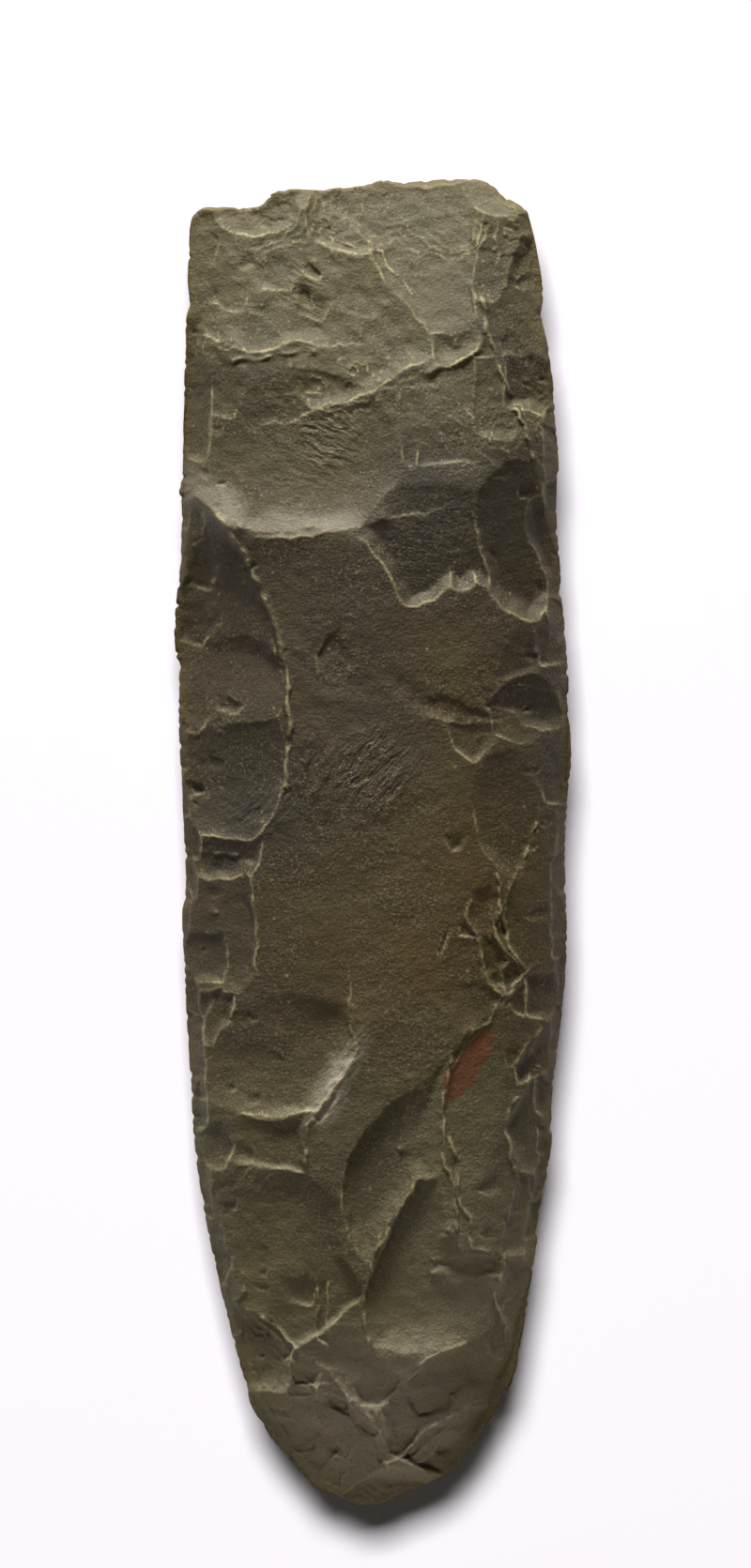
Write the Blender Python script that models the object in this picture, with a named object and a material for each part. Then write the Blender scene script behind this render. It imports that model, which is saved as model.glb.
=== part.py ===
"""A flaked stone axe head, one stone, lying on its back with the blade toward +Y.

The form is made as the stone was: a smooth blank between two margins, then scars struck out of it.
First come the facets, each a short outline with a nearly flat floor that slants against the blank. The
surface is the lowest of the blank and the facets, so neighbours meet in sharp ridges. Then come the
hollows, sunk into what is left: each deepens from its sides and ends in a step where the flake came away.
Places in the tables are millimetres: x across from the middle, y along toward the blade.
"""

import math
from typing import NamedTuple

import bpy
import numpy as np

# Driving dimensions, in metres
LENGTH = 0.212
WIDTH = 0.0634
EDGE_HEIGHT = 0.016
FRONT_RISE = 0.0142
BACK_DEPTH = 0.0165

MM = 0.001

# Grid laid over each face, and the share of its triangles that the solid keeps
ROWS = 340
COLUMNS = 110
KEPT_SHARE = 0.063

# Edge of the stone: blade and butt from left to right, margins from blade to butt
BLADE_LINE = (
    (-29.1, 97.8), (-28.6, 99.7), (-27.2, 101.0), (-25.5, 101.3), (-20.0, 101.1), (-17.6, 101.6),
    (-16.2, 103.3), (-14.0, 104.0), (-8.5, 104.2), (-2.5, 104.7), (1.8, 105.7), (4.5, 105.3),
    (9.0, 105.7), (14.7, 106.0), (18.3, 105.3), (21.2, 103.1), (24.4, 101.0), (24.9, 99.8),
)
RIGHT_LINE = (
    (24.9, 99.8), (26.1, 95.2), (27.2, 88.0), (27.1, 83.6), (28.5, 76.0), (29.3, 66.0), (29.7, 59.5),
    (29.4, 52.8), (30.0, 43.0), (31.3, 25.5), (31.1, 22.5), (31.7, 13.5), (30.7, -0.5), (31.0, -19.0),
    (28.9, -38.8), (28.5, -49.0), (26.2, -61.5), (26.1, -65.0), (22.9, -84.0), (20.6, -88.9), (16.5, -96.1),
)
BUTT_LINE = (
    (-16.3, -95.0), (-10.3, -101.8), (-8.9, -103.2), (-7.0, -103.7), (-4.0, -105.1), (-1.8, -105.9),
    (1.6, -105.6), (4.2, -104.3), (11.8, -100.9), (14.0, -98.6), (16.5, -96.1),
)
LEFT_LINE = (
    (-29.1, 97.8), (-29.4, 89.5), (-29.2, 85.5), (-29.7, 82.0), (-30.1, 67.0), (-30.3, 59.0), (-30.9, 55.8),
    (-30.5, 53.5), (-30.6, 44.5), (-31.6, 34.5), (-30.8, 24.3), (-30.9, 19.0), (-29.8, -5.0), (-30.3, -13.5),
    (-29.0, -38.5), (-28.0, -51.5), (-25.0, -68.0), (-20.3, -86.5), (-19.0, -90.6), (-16.3, -95.0),
)

# The edge snakes up and down: its height off EDGE_HEIGHT, by y on the margins and by x on the blade
LEFT_RISE = (
    (-106, 0.8), (-80, 0.3), (-40, -0.4), (0, 0.4), (30, -0.4), (50, 0.2), (66, 0.8), (84, 2.6), (98, 1.0),
)
RIGHT_RISE = (
    (-106, 0.8), (-85, 0.4), (-50, 0.2), (-20, -0.6), (10, 0.4), (40, -0.4), (60, 0.4), (80, 0.8),
    (100, -0.8),
)
BLADE_RISE = (
    (-29.1, 1.0), (-22, 0.6), (-15, 1.0), (-8, 0.0), (0, -1.0), (9, -2.4), (15, -1.8), (24.9, -0.8),
)
BLADE_FROM = 97.5

# Plan of the blank: its half width, where that is widest, and how it runs from there to either end
HALF_WIDTH = 31.2
WIDEST_AT = 15.0
BUTT_END_RUN = 122.0
BUTT_ROUNDNESS = 3.2
BLADE_END_RUN = 91.0
BLADE_NARROWING = 2.6
BLADE_TAPER = 1.4

# Section across the blank: a higher boxiness is a flatter crown with steeper shoulders
FRONT_BOXINESS = 2.8
BACK_BOXINESS = 2.3
BOXIER_AT_BLADE = 5.0
SHOULDER = 0.8

# Section along the blank: a slight arch, and where and how it thins toward the blade and the butt
LENGTHWISE_ARCH = 0.2
ARCH_RUN = 106.0
BLADE_THINS_FROM = 42.0
BUTT_THINS_FROM = -45.0
THINNING_LENGTH = 66.0
THINNED_AT_BLADE = 0.95
BLADE_CURVE = 1.6
BUTT_CURVE = 2.2

# A scar's outline wanders by this much over a centimetre, and by this much in small nicks
OUTLINE_WAVER = 0.45
WAVER_SIZE = 9.0
OUTLINE_NICKS = 0.18
NICK_SIZE = 2.5

# The wall that a facet turns up outside its outline is straight this far out, and then curls up
WALL_STRAIGHT = 1.5
WALL_CURL = 0.4

# How much farther in a hollow goes on deepening where its flake was struck from
STRUCK_SIDE_REACH = 1.8

# A scar changes the face no farther than this outside its outline
SCAR_MARGIN = 5.0

# No face leaves the edge more steeply or more gently than this, the latter for so many mm from it
STEEPEST_EDGE = 2.2
GENTLEST_EDGE = 0.2
GENTLE_REACH = 6.0


class Facet(NamedTuple):
    """A flake scar that slants against the blank: its outline, and the plane that the flake left."""

    corners: tuple
    rim: tuple  # the place, where the flake came away, that its plane is measured from the blank
    drop: float  # how far below the blank the plane lies there
    slope: tuple = (0.0, 0.0)  # rise of the plane for each mm toward +X and toward +Y
    hollow: float = 0.3  # how much deeper its middle is than its corners
    follow: float = 0.0  # 0 for a plane, 1 for a floor that runs with the blank
    end: float = 1.2  # how steeply it turns up where the flake came away
    side: float = 0.4  # and along its sides
    lip: float = 0.12  # rounding where it turns up


class Hollow(NamedTuple):
    """A flake scar sunk into the face: its outline, and how the ground falls away inside it."""

    corners: tuple
    rim: tuple  # the place where the flake came away
    depth: float
    reach: float = 4.0  # how far in from its sides it is still getting deeper
    step: float = 0.8  # and how far in from the end where the flake came away


FRONT_FACETS = (
    # Blade end, where the light catches the slopes down to the edge
    Facet(((-8, 104), (0, 108), (15.6, 108), (15.6, 87), (16.2, 83), (13.5, 80.4), (9.5, 80.9),
           (7.5, 84), (6, 87), (1.5, 95)), (11.5, 80.7), 0.2, (0.03, -0.34), 0.2, 0, 1.4, 0.5),
    Facet(((-10, 106), (5, 107), (4, 98), (1.2, 94.4), (-2.5, 94.2), (-5, 94.9), (-8, 96.8)),
          (-2.5, 94.3), 1.1, (0, -0.34)),
    Facet(((-11.5, 102.9), (-8.5, 103.3), (-5.5, 100.2), (-2, 99), (0, 101), (-2, 107), (-11, 107)),
          (-5.5, 100.2), 1.4, (0, -0.3)),
    Facet(((-25, 104), (-24.2, 98.5), (-22.5, 97.4), (-20, 97), (-18.2, 97.3), (-14.8, 99.3),
           (-12.8, 102.4), (-17, 104)), (-20, 97.2), 0.8, (0, -0.4)),
    Facet(((-30.5, 99.3), (-26, 99.2), (-24.3, 98.3), (-24.7, 95.6), (-26.3, 94.3), (-30.5, 93)),
          (-24.8, 95.5), 0.6, (0.55, 0.3)),
    Facet(((15.6, 101.3), (24.5, 99.6), (26.5, 96), (22.6, 90), (21.5, 87.3), (20.2, 86.3), (17.2, 87),
           (15.6, 89)), (18, 86.5), 1.0, (-0.2, -0.22), 0.3, 0, 0.8),
    Facet(((15.6, 101.3), (24.5, 99.7), (28, 101), (20, 108), (14, 108)), (18, 101.2), 1.6, (0, -0.5)),
    # Right corner: facets turned over the edge, meeting in one long straight ridge
    Facet(((16.4, 80), (18.6, 81), (24.6, 67), (24.6, 65.6), (16.6, 65.8)), (17, 79), 0.1,
          (-0.36, -0.16), 0.1, 0, 0.4),
    Facet(((15.5, 87), (15.5, 80), (21, 64), (33, 64), (33, 92), (26, 97), (22.6, 91), (21.6, 87.6),
           (17.5, 87)), (18, 81.5), 0.12, (-0.62, -0.24), 0.1, 0, 0.8, 0.8),
    Facet(((21, 78), (21.6, 87.3), (23.4, 91.5), (25.8, 96.5), (33, 92), (33, 77.4), (27, 77.6)),
          (21.5, 82), 1.8, (-0.47, -0.17), 0.2, 0, 1.0, 0.6),
    Facet(((21.2, 77.6), (27, 77.6), (33, 77.4), (33, 69.4), (28, 69.6), (25, 70.4), (22.6, 69.8)),
          (24.5, 70), 3.0, (-0.58, 0.0), 0.2, 0, 1.3, 0.8),
    # The broad dish and the slopes beside it
    Facet(((-26.5, 76), (-11, 75.5), (-1, 71), (4.5, 66), (6.2, 58), (2.8, 57), (0.3, 54), (-1.2, 49.8),
           (-10, 49.2), (-18.6, 48.2), (-24.4, 51.2), (-27.8, 56.5), (-26.2, 70)), (-10, 49.2), 0.9,
          (0, 0), 2.2, 1, 1.3, 0.12),
    Facet(((8, 74.5), (16.5, 75), (16.9, 60.2), (7.2, 60), (7.3, 64), (5.5, 70)), (12, 60.3), 0.35,
          (-0.05, 0), 0.2, 0.5, 1.2, 0.3),
    Facet(((7.2, 60.2), (16.4, 60.3), (16.8, 50), (18, 42), (15.6, 43.4), (14, 41.3), (12.4, 42.5),
           (8.7, 39.8), (6.4, 38.8), (3.5, 44.5), (0.8, 48.7), (-1.2, 50), (0.3, 54), (2.8, 57),
           (6.2, 57.4)), (8.7, 39.8), 2.1, (0, 0.12), 0.3, 0.9, 1.3, 0.5),
    Facet(((15.7, 59), (16.5, 64), (19, 65.9), (32, 65.6), (32, 42), (29, 40.5), (25, 37.4), (20, 41),
           (17.5, 46), (16, 52)), (18, 46), 2.2, (-0.6, 0.15), 0.4, 0, 1.3, 0.7, 0.6),
    Facet(((26.4, 53), (30.5, 53.5), (33, 47), (30.2, 42.3), (27.6, 44), (26.2, 48)), (26.8, 46), 3.0,
          (-0.75, 0.1)),
    # Left margin and flank
    Facet(((-31, 84.5), (-29, 83.5), (-26.4, 76.5), (-25.5, 72), (-26.4, 64), (-27, 61.5), (-32, 62)),
          (-25.8, 70), 0.6, (1.1, 0), 0.2),
    Facet(((-32, 61), (-28.5, 58), (-27.2, 50), (-28.8, 43.5), (-32, 43)), (-27.8, 50), 0.5, (1.1, 0.1),
          0.2),
    Facet(((-27.8, 55), (-24.4, 51), (-21.3, 46), (-19, 42.3), (-17.1, 38.5), (-18.5, 36.5),
           (-25.5, 38), (-28.5, 46)), (-19, 42.5), 0.4, (0.78, 0.25), 0.4, 0.2),
    Facet(((-32, 43), (-28.8, 43.3), (-27, 44.5), (-25.8, 40.8), (-27.3, 38.3), (-32, 37)), (-26.3, 41),
          1.6, (0.5, -0.18)),
    Facet(((-27, 41), (-18.5, 38.5), (-16, 35.5), (-14.5, 31), (-14.1, 26.5), (-20, 29), (-32, 31),
           (-32, 38)), (-15.5, 33), 0.4, (0.7, 0.02), 0.3, 0.2),
    Facet(((-32, 31.5), (-20, 30.5), (-14.1, 27), (-13.5, 22.8), (-15.5, 19.2), (-24, 17.3),
           (-32, 16.6)), (-14, 24), 0.4, (0.6, -0.16), 0.3, 0.2),
    Facet(((-32, 16.4), (-24, 16.8), (-17, 18.4), (-14.2, 20.8), (-13.8, 16), (-14.2, 10), (-20, 3),
           (-32, 4)), (-14, 14), 0.4, (0.52, 0.06), 0.9, 0.3, 0.8, 0.12),
    Facet(((-32, 4.5), (-20, 3.5), (-16.5, 1.5), (-19, -3), (-25, -2.6), (-32, -3)), (-18.5, 0), 0.6,
          (0.55, 0.24), 0.4, 0.2),
    # Right margin
    Facet(((32, 36.5), (25, 36.8), (20, 30), (19.5, 26), (26.7, 28), (32, 30.5)), (20.5, 28), 0.2,
          (-0.5, 0.1), 0.3, 0.3, 0.6),
    Facet(((32, 30.5), (26.7, 28), (20, 24.3), (18, 22), (25, 21), (32, 20)), (18.8, 23), 0.4,
          (-0.5, 0.28), 0.3, 0.3),
    Facet(((18.5, 21.5), (32, 20.5), (32, 14.5), (25, 15.5), (19, 17)), (19.3, 18.6), 0.4,
          (-0.42, -0.18), 0.3, 0.3),
    Facet(((14, 12), (22, 14.5), (32, 14), (32, -2), (26, 2.8), (23, -5), (17.5, 0)), (16, 6), 0.15,
          (-0.36, 0.03), 0.3, 0.3, 0.7),
    Facet(((25.8, 2.8), (23.5, -4), (20.7, -11.5), (20.7, -14), (24.3, -20.3), (32, -18), (32, 3)),
          (21, -11), 0.5, (-0.5, 0.05)),
    Facet(((26, -19), (22.3, -22.8), (18.5, -28), (13.5, -33.5), (10.8, -44), (13.5, -48.8), (11, -54),
           (13.5, -62.5), (20.5, -65.4), (27, -66), (32, -52), (32, -28), (24.4, -26)), (12.4, -40),
          0.5, (-0.3, 0.02)),
    # The tip of the butt
    Facet(((2.9, -99.3), (12.5, -99.5), (15, -102), (2, -108), (-3, -106)), (4, -99.7), 0.3, (0, 0.9)),
)

FRONT_HOLLOWS = (
    # Blade end: long thinning scars struck down from the edge, with ledges where they stopped
    Hollow(((-31, 98), (-16, 106), (-5, 97), (-6.6, 79.7), (-10, 79), (-12.8, 79.9), (-14.5, 79.3),
            (-16.8, 78), (-19.8, 77.4), (-21.3, 80), (-25, 79.5), (-31, 84.5)), (-17, 78), 0.8, 6, 0.6),
    Hollow(((-9, 97), (1.2, 95), (4, 89.5), (8, 83.5), (9.7, 77), (5, 74.6), (0.5, 72), (-4, 69.7),
            (-9, 68.5), (-12, 71), (-14, 80)), (0, 72), 1.0, 6, 0.8),
    Hollow(((-13.6, 90.5), (-11, 89.3), (-9.4, 87), (-8.8, 84.9), (-11, 85.2), (-13.2, 87.4)),
           (-9.2, 85.8), 0.4, 1.5, 0.4),
    Hollow(((-12.4, 94), (-9.8, 92.6), (-8, 90.4), (-8.6, 89.4), (-11.2, 90.6), (-13, 92.4)),
           (-8.4, 89.8), 0.4, 1.5, 0.4),
    Hollow(((-27.2, 90.4), (-25, 89.6), (-24.2, 87.2), (-25, 85.4), (-27.6, 86)), (-24.8, 86),
           0.5, 1.5, 0.5),
    Hollow(((-22.4, 94.6), (-18.6, 93.4), (-17.8, 91.6), (-20.2, 90.8), (-22.8, 92.2)), (-18.4, 91.4),
           0.3, 1.5, 0.4),
    Hollow(((7.6, 74.2), (10.4, 74.4), (10.2, 72.2), (8, 72.4)), (9.5, 72.3), 0.25, 1.2, 0.5),
    Hollow(((9.7, 80.6), (16.3, 81.3), (17.3, 79.3), (13.8, 76.1), (11.5, 75.6), (9.6, 76.5)),
           (12.6, 75.8), 0.6, 2, 0.5),
    # Sunk scars beside the dish
    Hollow(((4, 65.5), (7.4, 65.5), (7.6, 63), (6.4, 59), (5, 60)), (6.2, 59.6), 0.35, 1.5, 0.6),
    # Left flank
    Hollow(((-18.3, 38.5), (-16.6, 36), (-14.6, 30.5), (-13.9, 27), (-15.2, 28.5), (-16.8, 33.5)),
           (-14.4, 29), 0.4, 1.2, 0.7),
    Hollow(((-25.8, 23.6), (-22.4, 23.4), (-20.2, 22), (-21.4, 20.2), (-25, 20.8)), (-21.4, 20.8),
           0.6, 1.5, 0.8),
    Hollow(((-30.4, 10), (-26.6, 9.2), (-26.4, 7.4), (-30, 6)), (-27, 7.8), 0.8, 1.5, 0.8),
    # Middle of the face
    Hollow(((-4.6, 34), (-7.2, 32), (-8.9, 29.5), (-8.5, 24), (-6, 22.5), (3, 22), (2.2, 24.5),
            (-2.2, 27.5), (-4, 31)), (-8, 30), 0.4, 4, 0.5),
    Hollow(((0.5, 31), (9, 24), (18.5, 20.5), (20, 19), (14, 18.5), (6, 21), (1, 25)), (12, 19.4),
           0.4, 3, 0.8),
    Hollow(((12, 19), (18.5, 19.6), (21, 17), (18, 14.5), (15.5, 12.3), (13.2, 15)), (14.3, 13.6),
           0.6, 2, 0.6),
    Hollow(((11.5, 1.4), (14.8, 1.2), (14.4, -1.2), (12, -1.6)), (13, -1.2), 0.4, 1.5, 0.6),
    # Lower left
    Hollow(((-25.2, -2), (-21.2, -1.9), (-19.3, -5), (-18.5, -12), (-18.4, -20), (-21, -24), (-36, -23),
            (-36, -2)), (-18.6, -12), 0.9, 5, 0.8),
    Hollow(((-36, -14.5), (-23.6, -14.7), (-23, -17.7), (-23.6, -22.7), (-36, -22)), (-23.4, -19),
           0.8, 2, 1.0),
    Hollow(((-36, -23), (-21.5, -24), (-22.4, -28), (-25, -32), (-36, -32)), (-22.4, -26.5),
           0.9, 2.5, 1.2),
    Hollow(((-19.3, -24.2), (-9.5, -24), (-3.3, -26), (-1.7, -30.5), (-2, -33.5), (-5.5, -38),
            (-9.3, -42.6), (-16.8, -43.9), (-20.5, -42.8), (-27, -41), (-29, -32), (-25, -29)),
           (-9.3, -42.6), 1.0, 7, 0.8),
    Hollow(((-3.2, -35), (-4.4, -37.2), (-5.8, -40.2), (-8, -45), (-9.6, -44), (-7.2, -40),
            (-4.6, -36)), (-8, -44), 0.45, 1.0, 0.8),
    Hollow(((-34, -41), (-20.5, -43), (-11, -44.6), (-10.8, -48), (-10.6, -52), (-22.5, -50.5),
            (-34, -52)), (-13, -51.5), 0.5, 3, 0.6),
    Hollow(((-36, -43), (-24, -44.8), (-22.2, -48.6), (-23.4, -52), (-36, -54)), (-23, -49),
           0.8, 2.5, 0.8),
    Hollow(((-24, -52.6), (-22, -50.9), (-10.6, -52.3), (-5, -57), (-4, -66), (-1.5, -72), (-8, -78),
            (-12.7, -81.3), (-20.5, -74), (-22.8, -67), (-34, -62), (-34, -56)), (-6, -74),
           0.7, 5, 0.8),
    Hollow(((-8.8, -69.5), (-6.9, -69.8), (-6.6, -74), (-7, -79.6), (-9, -79), (-9.3, -74)), (-7, -75),
           0.3, 1.1, 0.6),
    # Lower right: a sheaf of narrow scars struck in from the right margin
    Hollow(((13.3, -15.2), (16.4, -15.4), (17.8, -20.5), (18.4, -22.4), (20.4, -24.7), (18.3, -28.6),
            (14, -30), (11, -26), (10.4, -20)), (18.6, -26), 0.45, 5, 1.2),
    Hollow(((15.8, -8.2), (14.8, -12.3), (16.6, -15.2), (17.9, -20), (18.4, -22.2), (20.6, -24.5),
            (20.2, -21), (21.5, -18.6), (19.4, -14.5), (19.2, -12.3), (20.1, -9), (18.6, -6.5)),
           (20.2, -23.5), 0.75, 1.6, 1.0),
    Hollow(((20.3, -10.8), (19.2, -12.3), (19.6, -14.4), (21.6, -18.2), (23.4, -19.8), (22.2, -17.4),
            (21.3, -15), (20.8, -12)), (19.6, -13), 0.6, 0.7, 0.4),
    Hollow(((14.6, -11), (13.4, -15), (16.4, -15.3), (14.9, -12.6)), (14.6, -15.2), 0.35, 0.8, 0.3),
    Hollow(((13.4, -11.6), (11.9, -13.5), (10, -18.9), (11.4, -17.2), (12.8, -14)), (11, -18),
           0.4, 0.9, 0.4),
    Hollow(((21.6, -18.6), (23.2, -20), (23.6, -21), (20.8, -24.4), (20.1, -22.5), (20.6, -20.4)),
           (20.5, -23.8), 0.5, 0.8, 0.5),
    Hollow(((20.9, -24.9), (23.9, -21.6), (24.4, -27.8), (22.6, -27.2)), (24.2, -27), 0.5, 1.0, 0.4),
    Hollow(((36, -28.6), (28, -28.6), (22.6, -35.5), (22.9, -38), (36, -36)), (22.8, -36), 1.2, 3, 1.0),
    Hollow(((24.2, -21.2), (24.6, -27.4), (28, -28.4), (36, -27), (36, -19)), (24.6, -25), 0.9, 2, 0.8),
    Hollow(((25.3, -36.4), (21.2, -44.8), (22.9, -52.5), (36, -53), (36, -38)), (21.6, -44),
           1.1, 3, 0.8),
    Hollow(((22.9, -52.6), (20.6, -65.4), (34, -66), (36, -53)), (21.2, -60), 0.8, 3, 1.0),
    Hollow(((12.5, -33.5), (8.7, -37), (3, -42), (-1.8, -46), (-4.3, -50), (-5, -55), (-4.5, -60),
            (-1.5, -66), (7.2, -53.3), (10.2, -53.5), (11.5, -48.5), (11.2, -38.7)), (-4, -52),
           1.3, 4, 3),
    # Butt end
    Hollow(((7.2, -53.3), (3.2, -60.7), (-0.3, -67.5), (-1.5, -71.5), (-0.2, -80), (8.7, -81.6),
            (15, -80), (20.5, -76), (20.8, -66), (15.5, -65.2), (12, -61.5), (10.3, -53.8)),
           (1.2, -64.5), 1.2, 6, 1.0),
    Hollow(((9.5, -66), (15.5, -65.3), (20.6, -65.6), (20.6, -69), (13, -70)), (17, -66),
           0.5, 1.5, 0.6),
    Hollow(((20.8, -66), (19.8, -73), (21.8, -79), (22.4, -83), (34, -80), (34, -66)), (20.5, -74),
           1.0, 2, 0.8),
    Hollow(((8.7, -82.4), (15, -80), (22.5, -83), (30, -90), (15.5, -90), (8.7, -93.5), (3.7, -98),
            (1.3, -90), (5, -86)), (6, -85), 1.1, 4, 1.0),
    Hollow(((15.5, -90), (28, -89.5), (18, -99), (12.5, -101), (6.5, -99.8), (4, -98.2), (8.7, -93.6)),
           (9, -93.6), 0.9, 2, 0.8),
    Hollow(((-22.8, -67), (-20.5, -74), (-14.5, -80), (-12.7, -81.3), (-13.5, -87.5), (-26, -87.5),
            (-34, -70)), (-17.5, -77), 1.3, 3, 1.0),
    Hollow(((-19.4, -74.6), (-16, -76.2), (-12.3, -80.8), (-13.4, -82.4), (-17.5, -78.5), (-20.4, -76)),
           (-15, -79), 0.5, 0.9, 0.6),
    Hollow(((-26, -87), (-12, -86.8), (-4, -89), (-0.6, -91.5), (2.9, -99.5), (-2, -110), (-24, -104)),
           (-4, -90), 0.8, 5, 0.8),
    Hollow(((-12.7, -81.3), (-8, -78), (-0.2, -80.3), (5, -86), (1.2, -90), (-4, -89), (-11.5, -84.5)),
           (0, -84), 0.6, 3, 1.5),
    Hollow(((4.2, -98.2), (8.3, -93.6), (12, -92.4), (14.5, -90), (9, -90.5), (4, -93.4), (2.2, -94.4),
            (2.7, -97.5)), (4, -97), 0.6, 2.5, 0.5),
    Hollow(((6.2, -98.8), (8.6, -94.4), (13.2, -91.6), (14.9, -90.2), (12.3, -92.4), (8.2, -93.8),
            (4.6, -98)), (5.4, -98.4), 0.45, 0.6, 0.4),
    Hollow(((6.6, -99.2), (9.8, -97.6), (12, -94), (15.3, -93.6), (17.5, -95.5), (11.8, -100.5)),
           (7.4, -98.8), 0.7, 1.8, 0.5),
    Hollow(((-13, -82.5), (-12.4, -86.2), (-9.4, -86.2), (-8.9, -84), (-11, -82.6)), (-11, -86),
           0.6, 1.2, 0.4),
    Hollow(((-9, -86.4), (-5.5, -86), (-3.7, -89), (-3.2, -91.5), (-8, -90.5)), (-4.2, -90.6),
           0.5, 1.5, 0.4),
    Hollow(((-1, -90.5), (1.2, -93.8), (0, -94.4), (-3, -92.5)), (0, -94), 0.4, 0.8, 0.4),
    Hollow(((-14, -91), (-7, -93), (-5, -97), (-8, -100.5), (-13, -98), (-17, -93)), (-6, -97),
           0.5, 3, 0.8),
    Hollow(((-14.5, -69), (-10, -68.6), (-8.8, -71), (-9.6, -73.6), (-13.4, -73)), (-9.6, -73),
           0.4, 1.5, 0.5),
    Hollow(((-8.6, -83), (-6.3, -84.5), (-5.3, -87.2), (-3.5, -90.5), (-6, -91), (-8.6, -88)),
           (-5.6, -88), 0.4, 1.5, 0.5),
)

# Back face, plainer: wide scars in a row along each margin, and thinning scars at both ends
BACK_ROW_FROM = 62.0
BACK_ROW_STAGGER = 6.0
BACK_ROW_TO = -88.0
BACK_SCAR_LENGTH = 23.0
BACK_SCAR_HALVES = (0.42, 0.6)
BACK_SCAR_STEP = 0.875
BACK_RIDGE_GAP = 4.0
BACK_RIDGE_WANDER = 4.0
BACK_LEAN = 4.0
BACK_SLOPES = (0.3, 0.42)
BACK_TWIST = 0.06
BACK_DROPS = (0.1, 0.5)

# Scars of the back's ends: left, right, how far in they reach, and their drop under the blank
BACK_BLADE_SCARS = ((-31, -9, 76, 0.5), (-11, 11, 70, 0.7), (9, 29, 79, 0.4))
BACK_BUTT_SCARS = ((-22, 1, -72, 0.4), (-2, 22, -78, 0.4))

# Outlines that run off the stone end this far out
PAST_EDGE = 34.0
PAST_END = 108.0

# Small trimming scars all along the edge, in mm of edge and as slopes
TRIM_SHORTEST = 4.0
TRIM_LONGEST = 14.0
TRIM_SLOPES = (1.2, 2.0)
TRIM_REACH = (0.8, 2.6)
TRIM_TILT = 0.15
TRIM_HOLLOW = 0.2
TRIM_END_WALL = 1.6
TRIM_SIDE_WALL = 1.3
TRIM_GENTLEST = 0.8
TRIM_STEP = 0.9

# How their borders wander along the edge, and how raggedly they end: by how much, and over what size
TRIM_WANDER = 0.8
TRIM_WANDER_SIZE = 5.0
TRIM_RAGGEDNESS = 0.08
TRIM_RAGGED_SIZE = 4.0


def stations(line, count):
    """count points evenly spaced along the smooth curve through a line's points."""
    points = np.array(line, float)
    ends = np.vstack([2 * points[0] - points[1], points, 2 * points[-1] - points[-2]])
    t = np.linspace(0, 1, 20, endpoint=False)[:, None]
    spans = []
    for k in range(len(points) - 1):
        a, b, c, d = ends[k : k + 4]
        cubic = 2 * b + (c - a) * t + (2 * a - 5 * b + 4 * c - d) * t**2 + (3 * b - a - 3 * c + d) * t**3
        spans.append(cubic / 2)
    fine = np.vstack(spans + [points[-1:]])
    run = np.concatenate([[0], np.cumsum(np.hypot(*np.diff(fine, axis=0).T))])
    at = np.linspace(0, run[-1], count)
    return np.column_stack([np.interp(at, run, fine[:, 0]), np.interp(at, run, fine[:, 1])])


def edge_heights(x, y):
    """Height of the edge at points of it."""
    left = np.interp(y, *np.array(LEFT_RISE).T)
    right = np.interp(y, *np.array(RIGHT_RISE).T)
    blade = np.interp(x, *np.array(BLADE_RISE).T)
    return EDGE_HEIGHT / MM + np.where(y > BLADE_FROM, blade, np.where(x < 0, left, right))


def face_grid(rows, columns):
    """Rows and columns over the outline: each point blends its place on the four edge lines."""
    blade = stations(BLADE_LINE, columns + 1)[None, :, :]
    butt = stations(BUTT_LINE, columns + 1)[None, :, :]
    left = stations(LEFT_LINE, rows + 1)[:, None, :]
    right = stations(RIGHT_LINE, rows + 1)[:, None, :]
    across = np.linspace(0, 1, columns + 1)[None, :, None]
    along = np.linspace(0, 1, rows + 1)[:, None, None]
    between_ends = (1 - along) * blade + along * butt
    between_sides = (1 - across) * left + across * right
    blade_corners = (1 - across) * blade[:, :1] + across * blade[:, -1:]
    butt_corners = (1 - across) * butt[:, :1] + across * butt[:, -1:]
    grid = between_ends + between_sides - (1 - along) * blade_corners - along * butt_corners
    return grid[..., 0], grid[..., 1]


class Edge(NamedTuple):
    """For each point of a grid: distance to the edge, place along it, and the edge's height there."""

    distance: np.ndarray
    run: np.ndarray
    height: np.ndarray
    total: float


def nearest_edge(x, y):
    """The Edge of a grid, from the nearest of closely spaced points round the outline."""
    sides = (stations(BLADE_LINE, 200), stations(RIGHT_LINE, 600), stations(BUTT_LINE, 200)[::-1],
             stations(LEFT_LINE, 600)[::-1])
    loop = np.vstack([side[:-1] for side in sides])
    run = np.concatenate([[0], np.cumsum(np.hypot(*np.diff(loop, axis=0).T))])
    nearest = np.empty(x.size, int)
    flat_x, flat_y = x.ravel(), y.ravel()
    for start in range(0, x.size, 4000):
        some = slice(start, start + 4000)
        squares = (flat_x[some, None] - loop[:, 0]) ** 2 + (flat_y[some, None] - loop[:, 1]) ** 2
        nearest[some] = squares.argmin(axis=1)
    nearest = nearest.reshape(x.shape)
    # Then along the outline to the foot of the perpendicular, so that nothing steps from point to point
    tangent = np.roll(loop, -1, axis=0) - np.roll(loop, 1, axis=0)
    spacing = np.hypot(*tangent.T)
    tangent_x, tangent_y = tangent[nearest, 0] / spacing[nearest], tangent[nearest, 1] / spacing[nearest]
    off_x, off_y = x - loop[nearest, 0], y - loop[nearest, 1]
    slide = np.clip(off_x * tangent_x + off_y * tangent_y, -spacing[nearest] / 2, spacing[nearest] / 2)
    foot_x, foot_y = loop[nearest, 0] + slide * tangent_x, loop[nearest, 1] + slide * tangent_y
    distance = np.hypot(x - foot_x, y - foot_y)
    return Edge(distance, run[nearest] + slide, edge_heights(foot_x, foot_y), run[-1])


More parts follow.
